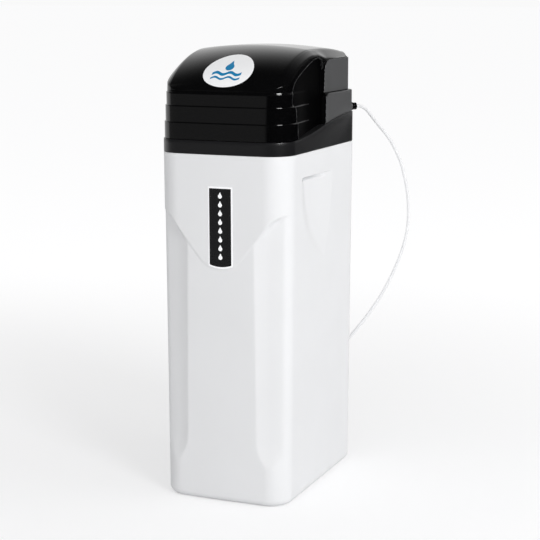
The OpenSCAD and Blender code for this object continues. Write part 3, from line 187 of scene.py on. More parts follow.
class Plan:
    """Columns round the cabinet's outline: places on the rim and their outward directions, in millimetres."""

    BOW_START, BOW_RUN = 20.0, 150.0

    def __init__(self, sizes, front, corner, side, rear_corner, rear):
        self.half_w, self.half_d = mm(sizes.width) / 2, mm(sizes.depth) / 2
        self.bow = mm(sizes.bow)
        f, r = mm(sizes.front_radius), mm(sizes.rear_radius)
        half = [(x, -self.half_d, 0.0, -1.0) for x in runs((0, self.half_w - f, front))[:-1]]
        half += self.corner(self.half_w - f, f - self.half_d, f, -90, corner)
        half += [(self.half_w, y, 1.0, 0.0) for y in side if f - self.half_d < y < self.half_d - r]
        half += self.corner(self.half_w - r, self.half_d - r, r, 0, rear_corner)
        half += [(x, self.half_d, 0.0, 1.0) for x in runs((self.half_w - r, 0, rear))[1:]]
        left = [(-x, y, -nx, ny) for x, y, nx, ny in half[-2:0:-1]]
        self.x, self.y, self.nx, self.ny = np.array(half + left).T

    @staticmethod
    def corner(cx, cy, r, start, count):
        turns = [math.radians(start + 90 * i / count) for i in range(count + 1)]
        return [(cx + r * math.cos(a), cy + r * math.sin(a), math.cos(a), math.sin(a)) for a in turns]

    def at(self, inset):
        """Places moved in from the rim outline by inset."""
        return self.x - inset * self.nx, self.y - inset * self.ny

    def bowed(self, x, y):
        """y with the soft bow of the front wall."""
        share = smooth((-y - self.BOW_START) / self.BOW_RUN)
        return y + self.bow * share * ((x / self.half_w) ** 2 - 0.5)


# Mesh making

class Shell:
    """Collects points in millimetres and faces, then becomes one object that rides a body."""

    def __init__(self):
        self.points, self.faces, self.finish = [], [], []

    def add(self, points, faces, finish=0):
        start = sum(len(p) for p in self.points)
        self.points.append(np.asarray(points, float).reshape(-1, 3))
        self.faces.extend([start + int(i) for i in face] for face in faces)
        self.finish.extend(finish if np.ndim(finish) else [finish] * len(faces))

    def grid(self, x, y, z, closed=True, finish=0):
        """Rows of columns as quads; columns run anticlockwise seen from above and rows run up."""
        rows, cols = z.shape
        index = np.arange(rows * cols).reshape(rows, cols)
        right = np.roll(index, -1, axis=1) if closed else index[:, 1:]
        left = index if closed else index[:, :-1]
        quads = np.stack([left[:-1], right[:-1], right[1:], left[1:]], axis=-1).reshape(-1, 4)
        self.add(np.stack([x, y, z], axis=-1), quads, finish)

    def merge(self, distance=0.004):
        """Joins points that lie together and drops faces with no area."""
        mesh = bmesh.new()
        corners = [mesh.verts.new(p) for p in np.concatenate(self.points)]
        for face, finish in zip(self.faces, self.finish):
            made = mesh.faces.new([corners[i] for i in face])
            made.material_index = finish
        bmesh.ops.remove_doubles(mesh, verts=mesh.verts, dist=distance)
        bmesh.ops.dissolve_degenerate(mesh, edges=mesh.edges, dist=distance)
        loose = [v for v in mesh.verts if not v.link_faces]
        bmesh.ops.delete(mesh, geom=loose, context="VERTS")
        mesh.verts.index_update()
        self.points = [np.array([v.co for v in mesh.verts])]
        self.faces = [[v.index for v in f.verts] for f in mesh.faces]
        self.finish = [f.material_index for f in mesh.faces]
        mesh.free()

    def thicken(self, thickness, finish=None):
        """Gives an open skin an inner face and closes its edges."""
        points = np.concatenate(self.points)
        mesh = bpy.data.meshes.new("skin")
        mesh.from_pydata(points.tolist(), [], self.faces)
        normals = np.zeros(len(points) * 3, np.float32)
        mesh.vertex_normals.foreach_get("vector", normals)
        bpy.data.meshes.remove(mesh)
        start = len(points)
        self.points = [points, points - thickness * normals.reshape(-1, 3)]
        edges = {(a, b) for face in self.faces for a, b in zip(face, face[1:] + face[:1])}
        inner = [[start + i for i in reversed(face)] for face in self.faces]
        rims = [[b, a, start + a, start + b] for a, b in edges if (b, a) not in edges]
        self.finish += [f if finish is None else finish for f in self.finish] + [0] * len(rims)
        self.faces += inner + rims

    def build(self, name, body, materials, replaces=(), sharp=38):
        mesh = bpy.data.meshes.new(name)
        mesh.from_pydata((np.concatenate(self.points) * MM).tolist(), [], self.faces)
        mesh.polygons.foreach_set("material_index", self.finish)
        for material in materials:
            mesh.materials.append(material)
        mesh.shade_smooth()
        mesh.set_sharp_from_angle(angle=math.radians(sharp))
        mesh.validate()
        piece = bpy.data.objects.new(name, mesh)
        bpy.context.scene.collection.objects.link(piece)
        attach(piece, body)
        if replaces:
            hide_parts(*replaces)
        return piece


def turned(profile, origin, axis, count=48):
    """Points and faces of a closed profile of (radius, height) turned about an axis."""
    axis = Vector(axis).normalized()
    turn = Vector((0, 0, 1)).rotation_difference(axis).to_matrix()
    points, faces = [], []
    n = len(profile)
    for i in range(count):
        a = 2 * math.pi * i / count
        for radius, height in profile:
            points.append(Vector(origin) + turn @ Vector((radius * math.cos(a), radius * math.sin(a), height)))
    for i in range(count):
        for j in range(n):
            k, m = (i + 1) % count, (j + 1) % n
            faces.append([i * n + j, k * n + j, k * n + m, i * n + m])
    return [tuple(p) for p in points], faces


def round_bar(origin, axis, radius, height, edge=0.6, bore=0.01, count=48):
    """A round bar with eased edges, bored through."""
    profile = [(bore, 0), (radius - edge, 0), (radius, edge),
               (radius, height - edge), (radius - edge, height), (bore, height)]
    return turned(profile, origin, axis, count)


def eased_block(low, high, edge=0.8):
    """A block with eased edges."""
    mesh = bmesh.new()
    bmesh.ops.create_cube(mesh, size=1.0)
    low, high = Vector(low), Vector(high)
    for v in mesh.verts:
        v.co = [(low[i] + high[i]) / 2 + v.co[i] * (high[i] - low[i]) for i in range(3)]
    bmesh.ops.bevel(mesh, geom=mesh.edges[:], offset=edge, segments=2, affect="EDGES", profile=0.5)
    mesh.verts.index_update()
    points = [tuple(v.co) for v in mesh.verts]
    faces = [[v.index for v in f.verts] for f in mesh.faces]
    mesh.free()
    return points, faces


# Finishes

class Value:
    """A shader socket that takes part in sums as a number does."""

    def __init__(self, finish, socket):
        self.finish, self.socket = finish, socket

    def maths(self, operation, *others):
        return self.finish.node("ShaderNodeMath", {"operation": operation}, dict(enumerate((self,) + others)))

    def __add__(self, other):
        return self.maths("ADD", other)

    __radd__ = __add__

    def __sub__(self, other):
        return self.maths("SUBTRACT", other)

    def __rsub__(self, other):
        return self.finish.node("ShaderNodeMath", {"operation": "SUBTRACT"}, {0: other, 1: self})

    def __mul__(self, other):
        return self.maths("MULTIPLY", other)

    __rmul__ = __mul__

    def __truediv__(self, other):
        return self.maths("DIVIDE", other)

    def __pow__(self, other):
        return self.maths("POWER", other)

    def __abs__(self):
        return self.maths("ABSOLUTE")

    def __lt__(self, other):
        return self.maths("LESS_THAN", other)

    def __gt__(self, other):
        return self.maths("GREATER_THAN", other)

    def most(self, other):
        return self.maths("MAXIMUM", other)

    def step(self, low, high):
        """Eased step from 0 at low to 1 at high."""
        settings = {"interpolation_type": "SMOOTHSTEP", "data_type": "FLOAT"}
        return self.finish.node("ShaderNodeMapRange", settings, {"Value": self, "From Min": low, "From Max": high})


class Finish:
    """One material or world and its nodes."""

    def __init__(self, name, world=False):
        self.owner = (bpy.data.worlds if world else bpy.data.materials).new(name)
        self.owner.use_nodes = True
        self.tree = self.owner.node_tree
        self.tree.nodes.clear()
        self.output = self.tree.nodes.new("ShaderNodeOutputWorld" if world else "ShaderNodeOutputMaterial")

    def node(self, kind, settings=None, sockets=None, out=0):
        """Makes a node, sets it, joins or fills its sockets and gives one of its outputs."""
        made = self.tree.nodes.new(kind)
        for key, value in (settings or {}).items():
            setattr(made, key, value)
        for key, value in (sockets or {}).items():
            self.join(made.inputs[key], value)
        return Value(self, made.outputs[out])

    def join(self, socket, value):
        if isinstance(value, Value):
            self.tree.links.new(value.socket, socket)
        elif hasattr(socket.default_value, "__len__") and len(value) == 3 and len(socket.default_value) == 4:
            socket.default_value = (*value, 1.0)
        else:
            socket.default_value = value

    def place(self):
        """Place on the piece, in metres."""
        return self.node("ShaderNodeTexCoord", out="Object")

    def outputs(self, value, *names):
        """Other outputs of the node that a value comes from."""
        return [Value(self, value.socket.node.outputs[name]) for name in names]

    def split(self, place):
        """The three parts of a place."""
        return self.outputs(self.node("ShaderNodeSeparateXYZ", None, {0: place}), "X", "Y", "Z")

    def map_place(self):
        """Place on the print map, across and up."""
        return self.split(self.node("ShaderNodeUVMap", {"uv_map": "UVMap"}))[:2]

    def rays(self):
        """Whether a ray comes from the camera, from a shiny surface and through a clear one."""
        names = "Is Camera Ray", "Is Glossy Ray", "Is Transmission Ray"
        return self.outputs(self.node("ShaderNodeLightPath"), *names)

    def noise(self, scale, detail=2.0, rough=0.5, place=None):
        sockets = {"Vector": place or self.place(), "Scale": scale, "Detail": detail, "Roughness": rough}
        return self.node("ShaderNodeTexNoise", {"noise_dimensions": "3D"}, sockets)

    def blend(self, share, first, second):
        """A colour between two colours."""
        sockets = {"Factor": share, 6: first, 7: second}
        return self.node("ShaderNodeMix", {"data_type": "RGBA"}, sockets, out=2)

    def bump(self, height, distance, strength=1.0):
        return self.node("ShaderNodeBump", None, {"Strength": strength, "Distance": distance, "Height": height})

    def plastic(self, **sockets):
        """Ends the material in one principled shader and gives the material."""
        named = {key.replace("_", " ").title().replace("Ior", "IOR"): value for key, value in sockets.items()}
        shader = self.node("ShaderNodeBsdfPrincipled", None, named)
        self.tree.links.new(shader.socket, self.output.inputs["Surface"])
        return self.owner


def moulded(name, shade, rough, grain=900.0, depth=0.00004, **more):
    """Moulded plastic: fine grain, a soft drift of gloss and a trace of colour drift."""
    f = Finish(name)
    place = f.place()
    fine = f.noise(grain, 2.0, 0.6, place)
    drift = f.noise(14.0, 3.0, 0.55, place)
    dark = [c * 0.94 for c in shade]
    base = f.blend(drift.step(0.3, 0.7), dark, shade)
    return f.plastic(base_color=base, roughness=rough + (drift - 0.5) * 0.1, normal=f.bump(fine, depth), **more)


def polished_black(name, shade):
    """Polished black plastic: deep gloss with a faint orange peel and hairline wear."""
    f = Finish(name)
    place = f.place()
    peel = f.noise(70.0, 1.0, 0.4, place)
    haze = f.noise(9.0, 4.0, 0.6, place)
    hairs = f.noise(420.0, 2.0, 0.7, f.node("ShaderNodeMapping", None, {"Vector": place, "Scale": (1.0, 0.12, 1.0)}))
    rough = 0.1 + haze.step(0.35, 0.75) * 0.05 + hairs.step(0.62, 0.75) * 0.03
    base = f.blend(haze, shade, [c * 1.6 for c in shade])
    return f.plastic(base_color=base, roughness=rough, normal=f.bump(peel, 0.00006, 0.5))


def textured_white(name, shade):
    """Fine spark-textured white plastic."""
    f = Finish(name)
    place = f.place()
    spark = f.noise(1500.0, 3.0, 0.65, place)
    peel = f.noise(120.0, 2.0, 0.5, place)
    drift = f.noise(6.0, 3.0, 0.5, place)
    base = f.blend(drift.step(0.3, 0.7), [c * 0.985 for c in shade], shade)
    height = spark * 0.6 + peel * 0.4
    return f.plastic(base_color=base, roughness=0.46 + (spark - 0.5) * 0.14,
                     specular_ior_level=0.05, normal=f.bump(height, 0.00008, 0.6))


def metal(name, shade, rough):
    """Plated or turned metal with fine streaks."""
    f = Finish(name)
    place = f.node("ShaderNodeMapping", None, {"Vector": f.place(), "Scale": (1.0, 1.0, 0.04)})
    lines = f.noise(2600.0, 2.0, 0.6, place)
    base = f.blend(lines, [c * 0.85 for c in shade], shade)
    return f.plastic(base_color=base, metallic=1.0, roughness=rough + lines * 0.12, normal=f.bump(lines, 0.00003))


def wound_tank(name, shade):
    """Glass fibre wound in crossing bands under resin."""
    f = Finish(name)
    place = f.place()
    bands = [f.node("ShaderNodeTexWave", {"wave_type": "BANDS", "bands_direction": "DIAGONAL"},
                    {"Vector": f.node("ShaderNodeMapping", None, {"Vector": place, "Scale": (1.0, s, 1.0)}),
                     "Scale": 90.0, "Distortion": 1.5, "Detail": 2.0}, out="Fac") for s in (1.0, -1.0)]
    cross = bands[0].most(bands[1])
    base = f.blend(cross, [c * 0.7 for c in shade], shade)
    return f.plastic(base_color=base, roughness=0.5 - cross * 0.12, normal=f.bump(cross, 0.0003))


def clear_tube(name, shade):
    """Milky polyethylene tube, with a painted glow that stands in for light passing through it."""
    f = Finish(name)
    cloud = f.noise(60.0, 2.0, 0.5)
    base = f.blend(cloud, [c * 0.93 for c in shade], shade)
    return f.plastic(base_color=base, roughness=0.45 + cloud * 0.08, specular_ior_level=0.15,
                     emission_color=(0.15, 0.15, 0.154), emission_strength=1.0)


def drop(u, v, wide, tall, tip, lean, start):
    """Mask of a drop: a round lobe about the origin under a taper that ends at the tip."""
    lobe = (u / wide) ** 2.0 + (v / tall) ** 2.0 < 1.0
    return lobe.most((abs(u) < (tip - v) * lean) * (v > start))


def printed(f, marks, ground, mark, painted_glows, grain, gloss, coat):
    """Foil with printed marks; the glows given are painted light, a faint glow of the ground and of the marks that
    brightens them.
    """
    fleck = f.noise(grain, 2.0, 0.5)
    rough, spread = gloss
    return f.plastic(base_color=f.blend(marks, ground, mark), roughness=rough + fleck * spread, coat_weight=coat,
                     emission_color=f.blend(marks, *painted_glows), emission_strength=1.0)


def printed_badge(name, foil, mark):
    """White foil with a plain blue drop over two waves, on a map from -1 to 1."""
    f = Finish(name)
    u, v = f.map_place()
    wave = 0.07 * (u * 11.0).maths("SINE")
    marks = drop(u, v - 0.22, wide=0.17, tall=0.2, tip=0.4, lean=0.42, start=0.05)
    for level, half in ((-0.16, 0.085), (-0.44, 0.06)):
        marks = marks.most((abs(v - level - wave) < half) * (abs(u) < 0.6))
    # Painted light: the white ground glows faintly so that it looks brighter.
    return printed(f, marks, foil, mark, ((0.09, 0.09, 0.092), NO_LIGHT), 900.0, (0.22, 0.06), 0.3)


def printed_label(name, ink, foil):
    """Black foil with a white border and a column of plain white drops, on a map in millimetres."""
    f = Finish(name)
    u, v = f.map_place()
    low, high, pitch = 18.0, 182.0, 20.5
    border = (abs(u) > 27.6).most(v > 188.0).most(v < 4.0 + (u * u) * 0.0065)
    rise = (((v - low) / pitch).maths("FRACT") - 0.5) * pitch + 2.0
    drops = drop(u, rise, wide=5.0, tall=5.0, tip=10.0, lean=0.52, start=1.4) * (v > low) * (v < high)
    # Painted light: the white border and drops glow faintly so that they look brighter than the wall.
    painted_glows = NO_LIGHT, (0.16, 0.16, 0.165)
    return printed(f, drops.most(border), ink, foil, painted_glows, 700.0, (0.24, 0.08), 0.2)


# Maker of each finish, its colours (by name in the colour group, or as they are) and its numbers
RECIPES = {
    "white_shell": (textured_white, ["white"], {}),
    "black_gloss": (polished_black, ["black"], {}),
    "black_satin": (moulded, ["satin"], {"rough": 0.45, "grain": 1100.0, "depth": 0.00003}),
    "black_collar": (moulded, ["collar"], {"rough": 0.3, "grain": 1100.0, "depth": 0.00003}),
    # Painted shade: a copy of the gloss black that reflects almost nothing, for the lid's recesses and the housing's
    # dark strips and groove.
    "black_recess": (moulded, ["black"], {"rough": 0.4, "grain": 700.0, "depth": 0.00003, "ior": 1.06}),
    "badge_foil": (printed_badge, ["foil", "mark"], {}),
    "label_foil": (printed_label, ["ink", "foil"], {}),
    "tube_milky": (clear_tube, ["tube"], {}),
    "tank_wound": (wound_tank, ["tank"], {}),
    "grey_moulded": (moulded, [(0.07, 0.07, 0.075)], {"rough": 0.42}),
    "white_moulded": (moulded, [(0.72, 0.72, 0.7)], {"rough": 0.38}),
    "acetal": (moulded, [(0.78, 0.77, 0.72)], {"rough": 0.3, "grain": 500.0, "depth": 0.00002}),
    "rubber": (moulded, [(0.016, 0.016, 0.017)], {"rough": 0.65, "grain": 1400.0, "depth": 0.00006}),
    "board": (moulded, [(0.015, 0.1, 0.04)], {"rough": 0.4, "grain": 300.0, "depth": 0.00006}),
    "keys": (moulded, [(0.42, 0.43, 0.45)], {"rough": 0.45}),
    "turbine": (moulded, [(0.03, 0.1, 0.42)], {"rough": 0.3}),
    "foam": (moulded, [(0.7, 0.2, 0.04)], {"rough": 0.75, "grain": 260.0, "depth": 0.0004}),
    "window": (moulded, [(0.012, 0.02, 0.026)], {"rough": 0.08, "grain": 60.0, "depth": 0.00001, "coat_weight": 1.0}),
    "steel": (metal, [(0.62, 0.62, 0.64)], {"rough": 0.22}),
    "brass": (metal, [(0.72, 0.52, 0.22)], {"rough": 0.25}),
}
FINISHES = {}


def finish(name):
    """A finish by its name, made once."""
    if name not in FINISHES:
        make, shades, numbers = RECIPES[name]
        tones = bpy.context.scene.softener_colours
        shades = [tuple(getattr(tones, shade)) if isinstance(shade, str) else shade for shade in shades]
        FINISHES[name] = make(name, *shades, **numbers)
    return FINISHES[name]


# Shared heights of the head

COLLAR_FRONT, COLLAR_REAR, COLLAR_START, COLLAR_RUN = 32.0, 74.0, -215.0, 415.0
BAND_TOPS = (907.5, 945.5)
PART_Y = 11.0
CORNER_D, CORNER_H, CORNER_EASE = 65.0, 40.0, 6.0
HOUSE_TOP, TIER_TOP, TIER_IN = 1044.5, 964.0, 10.0
HINGE_X, HINGE_Y, HINGE_Z, HINGE_R = 60.0, 238.1, 1042.0, 5.0
GLAND_RISE = 85.0


def collar_top(rim, y):
    """Height of the collar's top edge, an S-curve from front to rear."""
    t = np.clip((y - COLLAR_START) / COLLAR_RUN, 0.0, 1.0)
    return rim + COLLAR_FRONT + (COLLAR_REAR - COLLAR_FRONT) * (1 - np.cos(math.pi * t)) / 2


def house_top(y):
    """Height of the rear housing's top edge, with its round front corner."""
    t = np.clip((y - PART_Y) / CORNER_D, 0.0, 1.0)
    return HOUSE_TOP - CORNER_H + CORNER_H * np.sqrt(1 - (1 - t) ** 2)


def corner_ease(nx, ny):
    """Extra inset that rounds the rear corners of the upper tier and of the lid above it."""
    return CORNER_EASE * np.where(ny > 0, 2 * np.abs(nx * ny), 0.0)


def corner_run(steps):
    """Places along the round front corner of the housing, close together where it is steep."""
    return [PART_Y + CORNER_D * (1 - math.cos(math.pi / 2 * i / steps)) for i in range(1, steps + 1)]


# Operators

class SOFTENER_OT_studio(bpy.types.Operator):
    """Sets the camera, the lights, the room and the floor"""

    bl_idname = "softener.studio"
    bl_label = "Studio"

    TURN, RISE = math.radians(22.756), math.radians(10.385)
    EYE = (1.4356, -3.3638, 1.1963)
    SENSOR, FARTHEST = 36.0, 500.0
    FLOOR_HALF = 150.0
    # Name, power, place, height it is aimed at, size and whether only reflections show it
    LAMPS = (
        ("key_light", "key", (6.7, -4.9, 3.9), 0.5, 3.0, False),
        ("glint_light", "glint", (2.5, -1.3, 2.3), 0.75, 1.3, True),
        ("front_fill", "fill", (0.7, -3.9, 1.3), 0.4, 2.4, False),
        ("right_fill", "side", (3.0, 0.3, 1.0), 0.4, 2.0, False),
    )

    def execute(self, context):
        scene, studio = context.scene, context.scene.softener_studio
        scene.view_settings.view_transform = "Standard"
        self.camera(scene, studio)
        self.room(scene, studio)
        self.floor(scene)
        for name, watts, place, aim, size, shines in self.LAMPS:
            self.lamp(scene, name, getattr(studio, watts), place, (0, 0, aim), size, shines)
        return {"FINISHED"}

    def camera(self, scene, studio):
        lens = bpy.data.cameras.new("studio_camera")
        lens.lens, lens.sensor_width, lens.clip_end = studio.lens, self.SENSOR, self.FARTHEST
        camera = bpy.data.objects.new("studio_camera", lens)
        turn, level = self.TURN, math.cos(self.RISE)
        back = Vector((math.sin(turn) * level, -math.cos(turn) * level, math.sin(self.RISE)))
        right = Vector((math.cos(turn), math.sin(turn), 0.0))
        axes = Matrix((right, back.cross(right), back)).transposed()
        camera.matrix_world = Matrix.Translation(self.EYE) @ axes.to_4x4()
        scene.collection.objects.link(camera)
        scene.camera = camera

    @staticmethod
    def lamp(scene, name, watts, place, aim, size, shines):
        light = bpy.data.lights.new(name, "AREA")
        light.shape, light.size, light.energy = "DISK", size, watts
        lamp = bpy.data.objects.new(name, light)
        lamp.location = place
        lamp.rotation_euler = (Vector(aim) - Vector(place)).to_track_quat("-Z", "Y").to_euler()
        lamp.visible_glossy = shines
        lamp.visible_diffuse = not shines
        lamp.visible_camera = False
        scene.collection.objects.link(lamp)

    @staticmethod
    def room(scene, studio):
        f = Finish("studio_room", world=True)
        right, rear, up = f.split(f.node("ShaderNodeTexCoord", out="Generated"))
        seen, shiny, clear = f.rays()
        seen = seen.most(clear)
        backdrop = 0.02 + 0.93 * rear.step(-0.25, 0.55) * (1 - up.step(0.4, 0.95)) * (1 - right.step(0.1, 0.46))
        level = studio.ambient * (1 - seen.most(shiny)) + shiny * (1 - seen) * backdrop + seen * 0.95
        shader = f.node("ShaderNodeBackground", None, {"Color": FULL_LIGHT, "Strength": level})
        f.tree.links.new(shader.socket, f.output.inputs["Surface"])
        scene.world = f.owner

    def floor(self, scene):
        f = Finish("studio_floor")
        seen, shiny, clear = f.rays()
        tone = tuple(scene.softener_colours.floor)
        base = f.blend(f.noise(1.2, 2.0, 0.5), [c * 0.99 for c in tone], tone)
        matt = f.node("ShaderNodeBsdfDiffuse", None, {"Color": base})
        across, deep, _ = f.split(f.place())
        near = deep.step(-2.2, -0.8)
        right = (across - deep * 0.1).step(-0.4, 1.4)
        mirrored = near * (1 - right) * 0.9 + (1 - near) * (1 - across.step(-2.2, 1.2)) * 0.2
        far = f.node("ShaderNodeVectorMath", {"operation": "LENGTH"}, {0: f.place()}, out="Value").step(0.3, 3.2)
        bright = 1.8 + far * 0.7
        strength = bright - shiny * (bright - mirrored)
        glow = f.node("ShaderNodeEmission", None, {"Color": FULL_LIGHT, "Strength": strength})
        share = shiny.most(seen.most(clear) * 0.25)
        mixed = f.node("ShaderNodeMixShader", None, {0: share, 1: matt, 2: glow})
        f.tree.links.new(mixed.socket, f.output.inputs["Surface"])
        corners = [(x * self.FLOOR_HALF, y * self.FLOOR_HALF, 0) for x, y in ((-1, -1), (1, -1), (1, 1), (-1, 1))]
        mesh = bpy.data.meshes.new("studio_floor")
        mesh.from_pydata(corners, [], [(0, 1, 2, 3)])
        mesh.materials.append(f.owner)
        floor = bpy.data.objects.new("studio_floor", mesh)
        scene.collection.objects.link(floor)


class SOFTENER_OT_brine_line(bpy.types.Operator):
    """Runs the milky brine line from the housing's gland round to the elbow on the rear wall"""

    bl_idname = "softener.brine_line"
    bl_label = "Brine line"

    LOOP = [
        (182, 253, 912), (196, 257, 895), (212, 259, 875), (238, 262, 845), (256, 266, 815), (270, 269, 784),
        (279, 272, 754), (288, 276, 708), (292, 278, 661), (290, 280, 614), (281, 280, 567), (265, 279, 519),
        (244, 276, 470), (219, 272, 422), (188, 266, 374), (162, 260, 338),
    ]
    LEAD, STEPS = 12.0, 6
    GLAND_REACH = 61.0
    ELBOW_X, ELBOW_Z, ELBOW_TURN = 106.0, 270.0, math.radians(41.0)
    ELBOW_RISE, ELBOW_OUT, ELBOW_REACH = 10.5, 16.0, 22.0

    def execute(self, context):
        sizes = context.scene.softener_sizes
        half_w, half_d, rim = mm(sizes.width) / 2, mm(sizes.depth) / 2, mm(sizes.rim)
        rear = mm(sizes.rear_radius)
        gland = np.array([math.sqrt(0.5), math.sqrt(0.5), 0.0])
        start = np.array([half_w - rear, half_d - rear, rim + GLAND_RISE]) + self.GLAND_REACH * gland
        elbow = np.array([math.sin(self.ELBOW_TURN), 0.0, math.cos(self.ELBOW_TURN)])
        seat = half_d - mm(sizes.lean) * (1 - (self.ELBOW_Z + self.ELBOW_RISE) / rim)
        end = np.array([self.ELBOW_X, seat + self.ELBOW_OUT, self.ELBOW_Z]) + self.ELBOW_REACH * elbow
        first = [start + self.LEAD * share * gland for share in (0.0, 0.5, 1.0)]
        last = [end + self.LEAD * share * elbow for share in (1.0, 0.5, 0.0)]
        line = smooth_line(first + self.LOOP + last, self.STEPS)
        path = bpy.data.curves.new("brine_line", "CURVE")
        path.dimensions = "3D"
        path.bevel_depth, path.bevel_resolution, path.use_fill_caps = sizes.tube / 2, 6, True
        spline = path.splines.new("POLY")
        spline.points.add(len(line) - 1)
        for point, place in zip(spline.points, line):
            point.co = (*(place * MM), 1.0)
        path.materials.append(finish("tube_milky"))
        piece = bpy.data.objects.new("brine_tube", path)
        context.scene.collection.objects.link(piece)
        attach(piece, "base")
        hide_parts("brine_line")
        return {"FINISHED"}


class SOFTENER_OT_cabinet(bpy.types.Operator):
    """Moulds the white cabinet with its shield edge, corner flutes, side handles and round foot"""

    bl_idname = "softener.cabinet"
    bl_label = "Cabinet"

    SIDE_RUNS = ((-184.5, -160, 5), (-160, -110, 2.5), (-110, 40, 5), (40, 64, 1.5), (64, 194.5, 9))
    RIM_ROUND, RIM_FLANGE = 1.0, 18.0
    SHIELD_ROUND, SHIELD_TURN, SHIELD_SLOPE = 70.0, 50.0, math.radians(51.0)
    FLUTE_OUT, FLUTE_BACK, NO_FLUTE = 9.0, 160.5, -60.0
    HANDLE_TIP, HANDLE_FRONT, HANDLE_REAR, HANDLE_MEET = 560.0, -150.0, 58.0, 3.0

    def execute(self, context):
        s = context.scene.softener_sizes
        rim, top, foot = mm(s.rim), mm(s.handle_top), mm(s.foot)
        plan = Plan(s, front=2.4, corner=36, side=runs(*self.SIDE_RUNS), rear_corner=12, rear=14)
        turns = [math.pi / 2 * i / 8 for i in range(9)]
        rows = [(foot * (1 - math.cos(a)), foot * (1 - math.sin(a))) for a in turns]
        rows += [(z, 0.0) for z in runs((foot, 84, 6), (84, 170, 4), (170, 540, 12), (540, 710, 2.4),
                                        (710, top - 12, 6), (top - 12, top + 3, 1.0), (top + 3, rim - 1, 6))[1:]]
        rows += [(rim - 0.3, 0.3), (rim, self.RIM_ROUND), (rim, self.RIM_FLANGE)]
        z, extra = (column[:, None] for column in np.array(rows).T)
        x, y = plan.at(extra + self.inset(s, plan, z))
        shell = Shell()
        shell.grid(x, plan.bowed(x, y), z + 0 * x)
        shell.faces.append(list(reversed(range(x.shape[1]))))
        shell.finish.append(0)
        shell.thicken(mm(s.wall))
        shell.build("cabinet_shell", "base", [finish("white_shell")], ["cabinet"])
        return {"FINISHED"}

    def inset(self, s, plan, z):
        """How far the wall lies inside the rim outline."""
        base = mm(s.lean) * (1 - z / mm(s.rim))
        below = self.shield(s, plan.x)[None, :] - z
        front = smooth((plan.ny < -0.02) * -plan.ny * 1.6)[None, :]
        step = mm(s.panel_step) * smooth((below + 1.5) / 4.0) * front
        flute = self.flute(s, plan, z) - base
        ease = 1.0 + 7.0 * smooth((np.abs(plan.nx) - 0.3) / 0.5)[None, :]
        hollow = above_zero(flute, ease) * smooth((below + 3.0) / 16.0) * (plan.ny < 0.001)[None, :]
        return base + step + hollow + self.handle(s, plan, z)

    def shield(self, s, x):
        """Height of the shield edge over the front: a round point, straight flanks and a turn to level."""
        low, top, x = mm(s.shield_low), mm(s.shield_top), np.abs(x)
        r, turn_r, slope = self.SHIELD_ROUND, self.SHIELD_TURN, self.SHIELD_SLOPE
        x1, rise = r * math.sin(slope), r * (1 - math.cos(slope))
        turn = turn_r * (1 - math.cos(slope))
        run = (top - turn - low - rise) / math.tan(slope)
        end = (r + turn_r) * math.sin(slope) + run
        arc = low + r - np.sqrt(np.maximum(r * r - x * x, 0))
        flank = low + rise + (x - x1) * math.tan(slope)
        level = top - turn_r + np.sqrt(np.maximum(turn_r ** 2 - np.maximum(end - x, 0) ** 2, 0))
        return np.where(x < x1, arc, np.where(x < x1 + run, flank, level))

    def flute(self, s, plan, z):
        """Inset of the hollow round each front corner: a tall cylinder with a round lower end."""
        radius = mm(s.flute_radius)
        reach = np.maximum(radius ** 2 - np.maximum(mm(s.flute_end) - z, 0) ** 2, 0)
        vx = np.abs(plan.x) - (plan.half_w + self.FLUTE_OUT)
        vy = plan.y + plan.half_d + self.FLUTE_BACK
        along = (vx * np.abs(plan.nx) + vy * plan.ny)[None, :]
        inside = along ** 2 + reach - (vx ** 2 + vy ** 2)[None, :]
        return np.where(inside > 0, along + np.sqrt(np.maximum(inside, 0)), self.NO_FLUTE)

    def handle(self, s, plan, z):
        """Inset of the finger recess in each side, deepest in the groove under its top edge."""
        top, y = mm(s.handle_top), plan.y[None, :]
        fall = np.clip((top - z) / (top - self.HANDLE_TIP), 0, 1)
        front = self.HANDLE_FRONT + (self.HANDLE_MEET - self.HANDLE_FRONT) * fall ** 3
        rear = self.HANDLE_REAR + (self.HANDLE_MEET - self.HANDLE_REAR) * fall ** 2.2
        ramp = np.clip((rear - y) / np.maximum(rear - front - 35.0, 1.0), 0, 1)
        share = smooth((top - z) / 3.0) * smooth((y - front) / 62.0) * (1 - (1 - ramp) ** 1.15)
        catch = smooth((top - z) / 2.0) * (1 - smooth((top - 4.0 - z) / 9.0))
        catch = catch * smooth((y + 140.0) / 25.0) * (1 - smooth((y + 60.0) / 100.0))
        depth = mm(s.handle_depth) * (1 - fall) * share + mm(s.handle_catch) * catch
        return depth * (np.abs(plan.nx) > 0.99)[None, :]


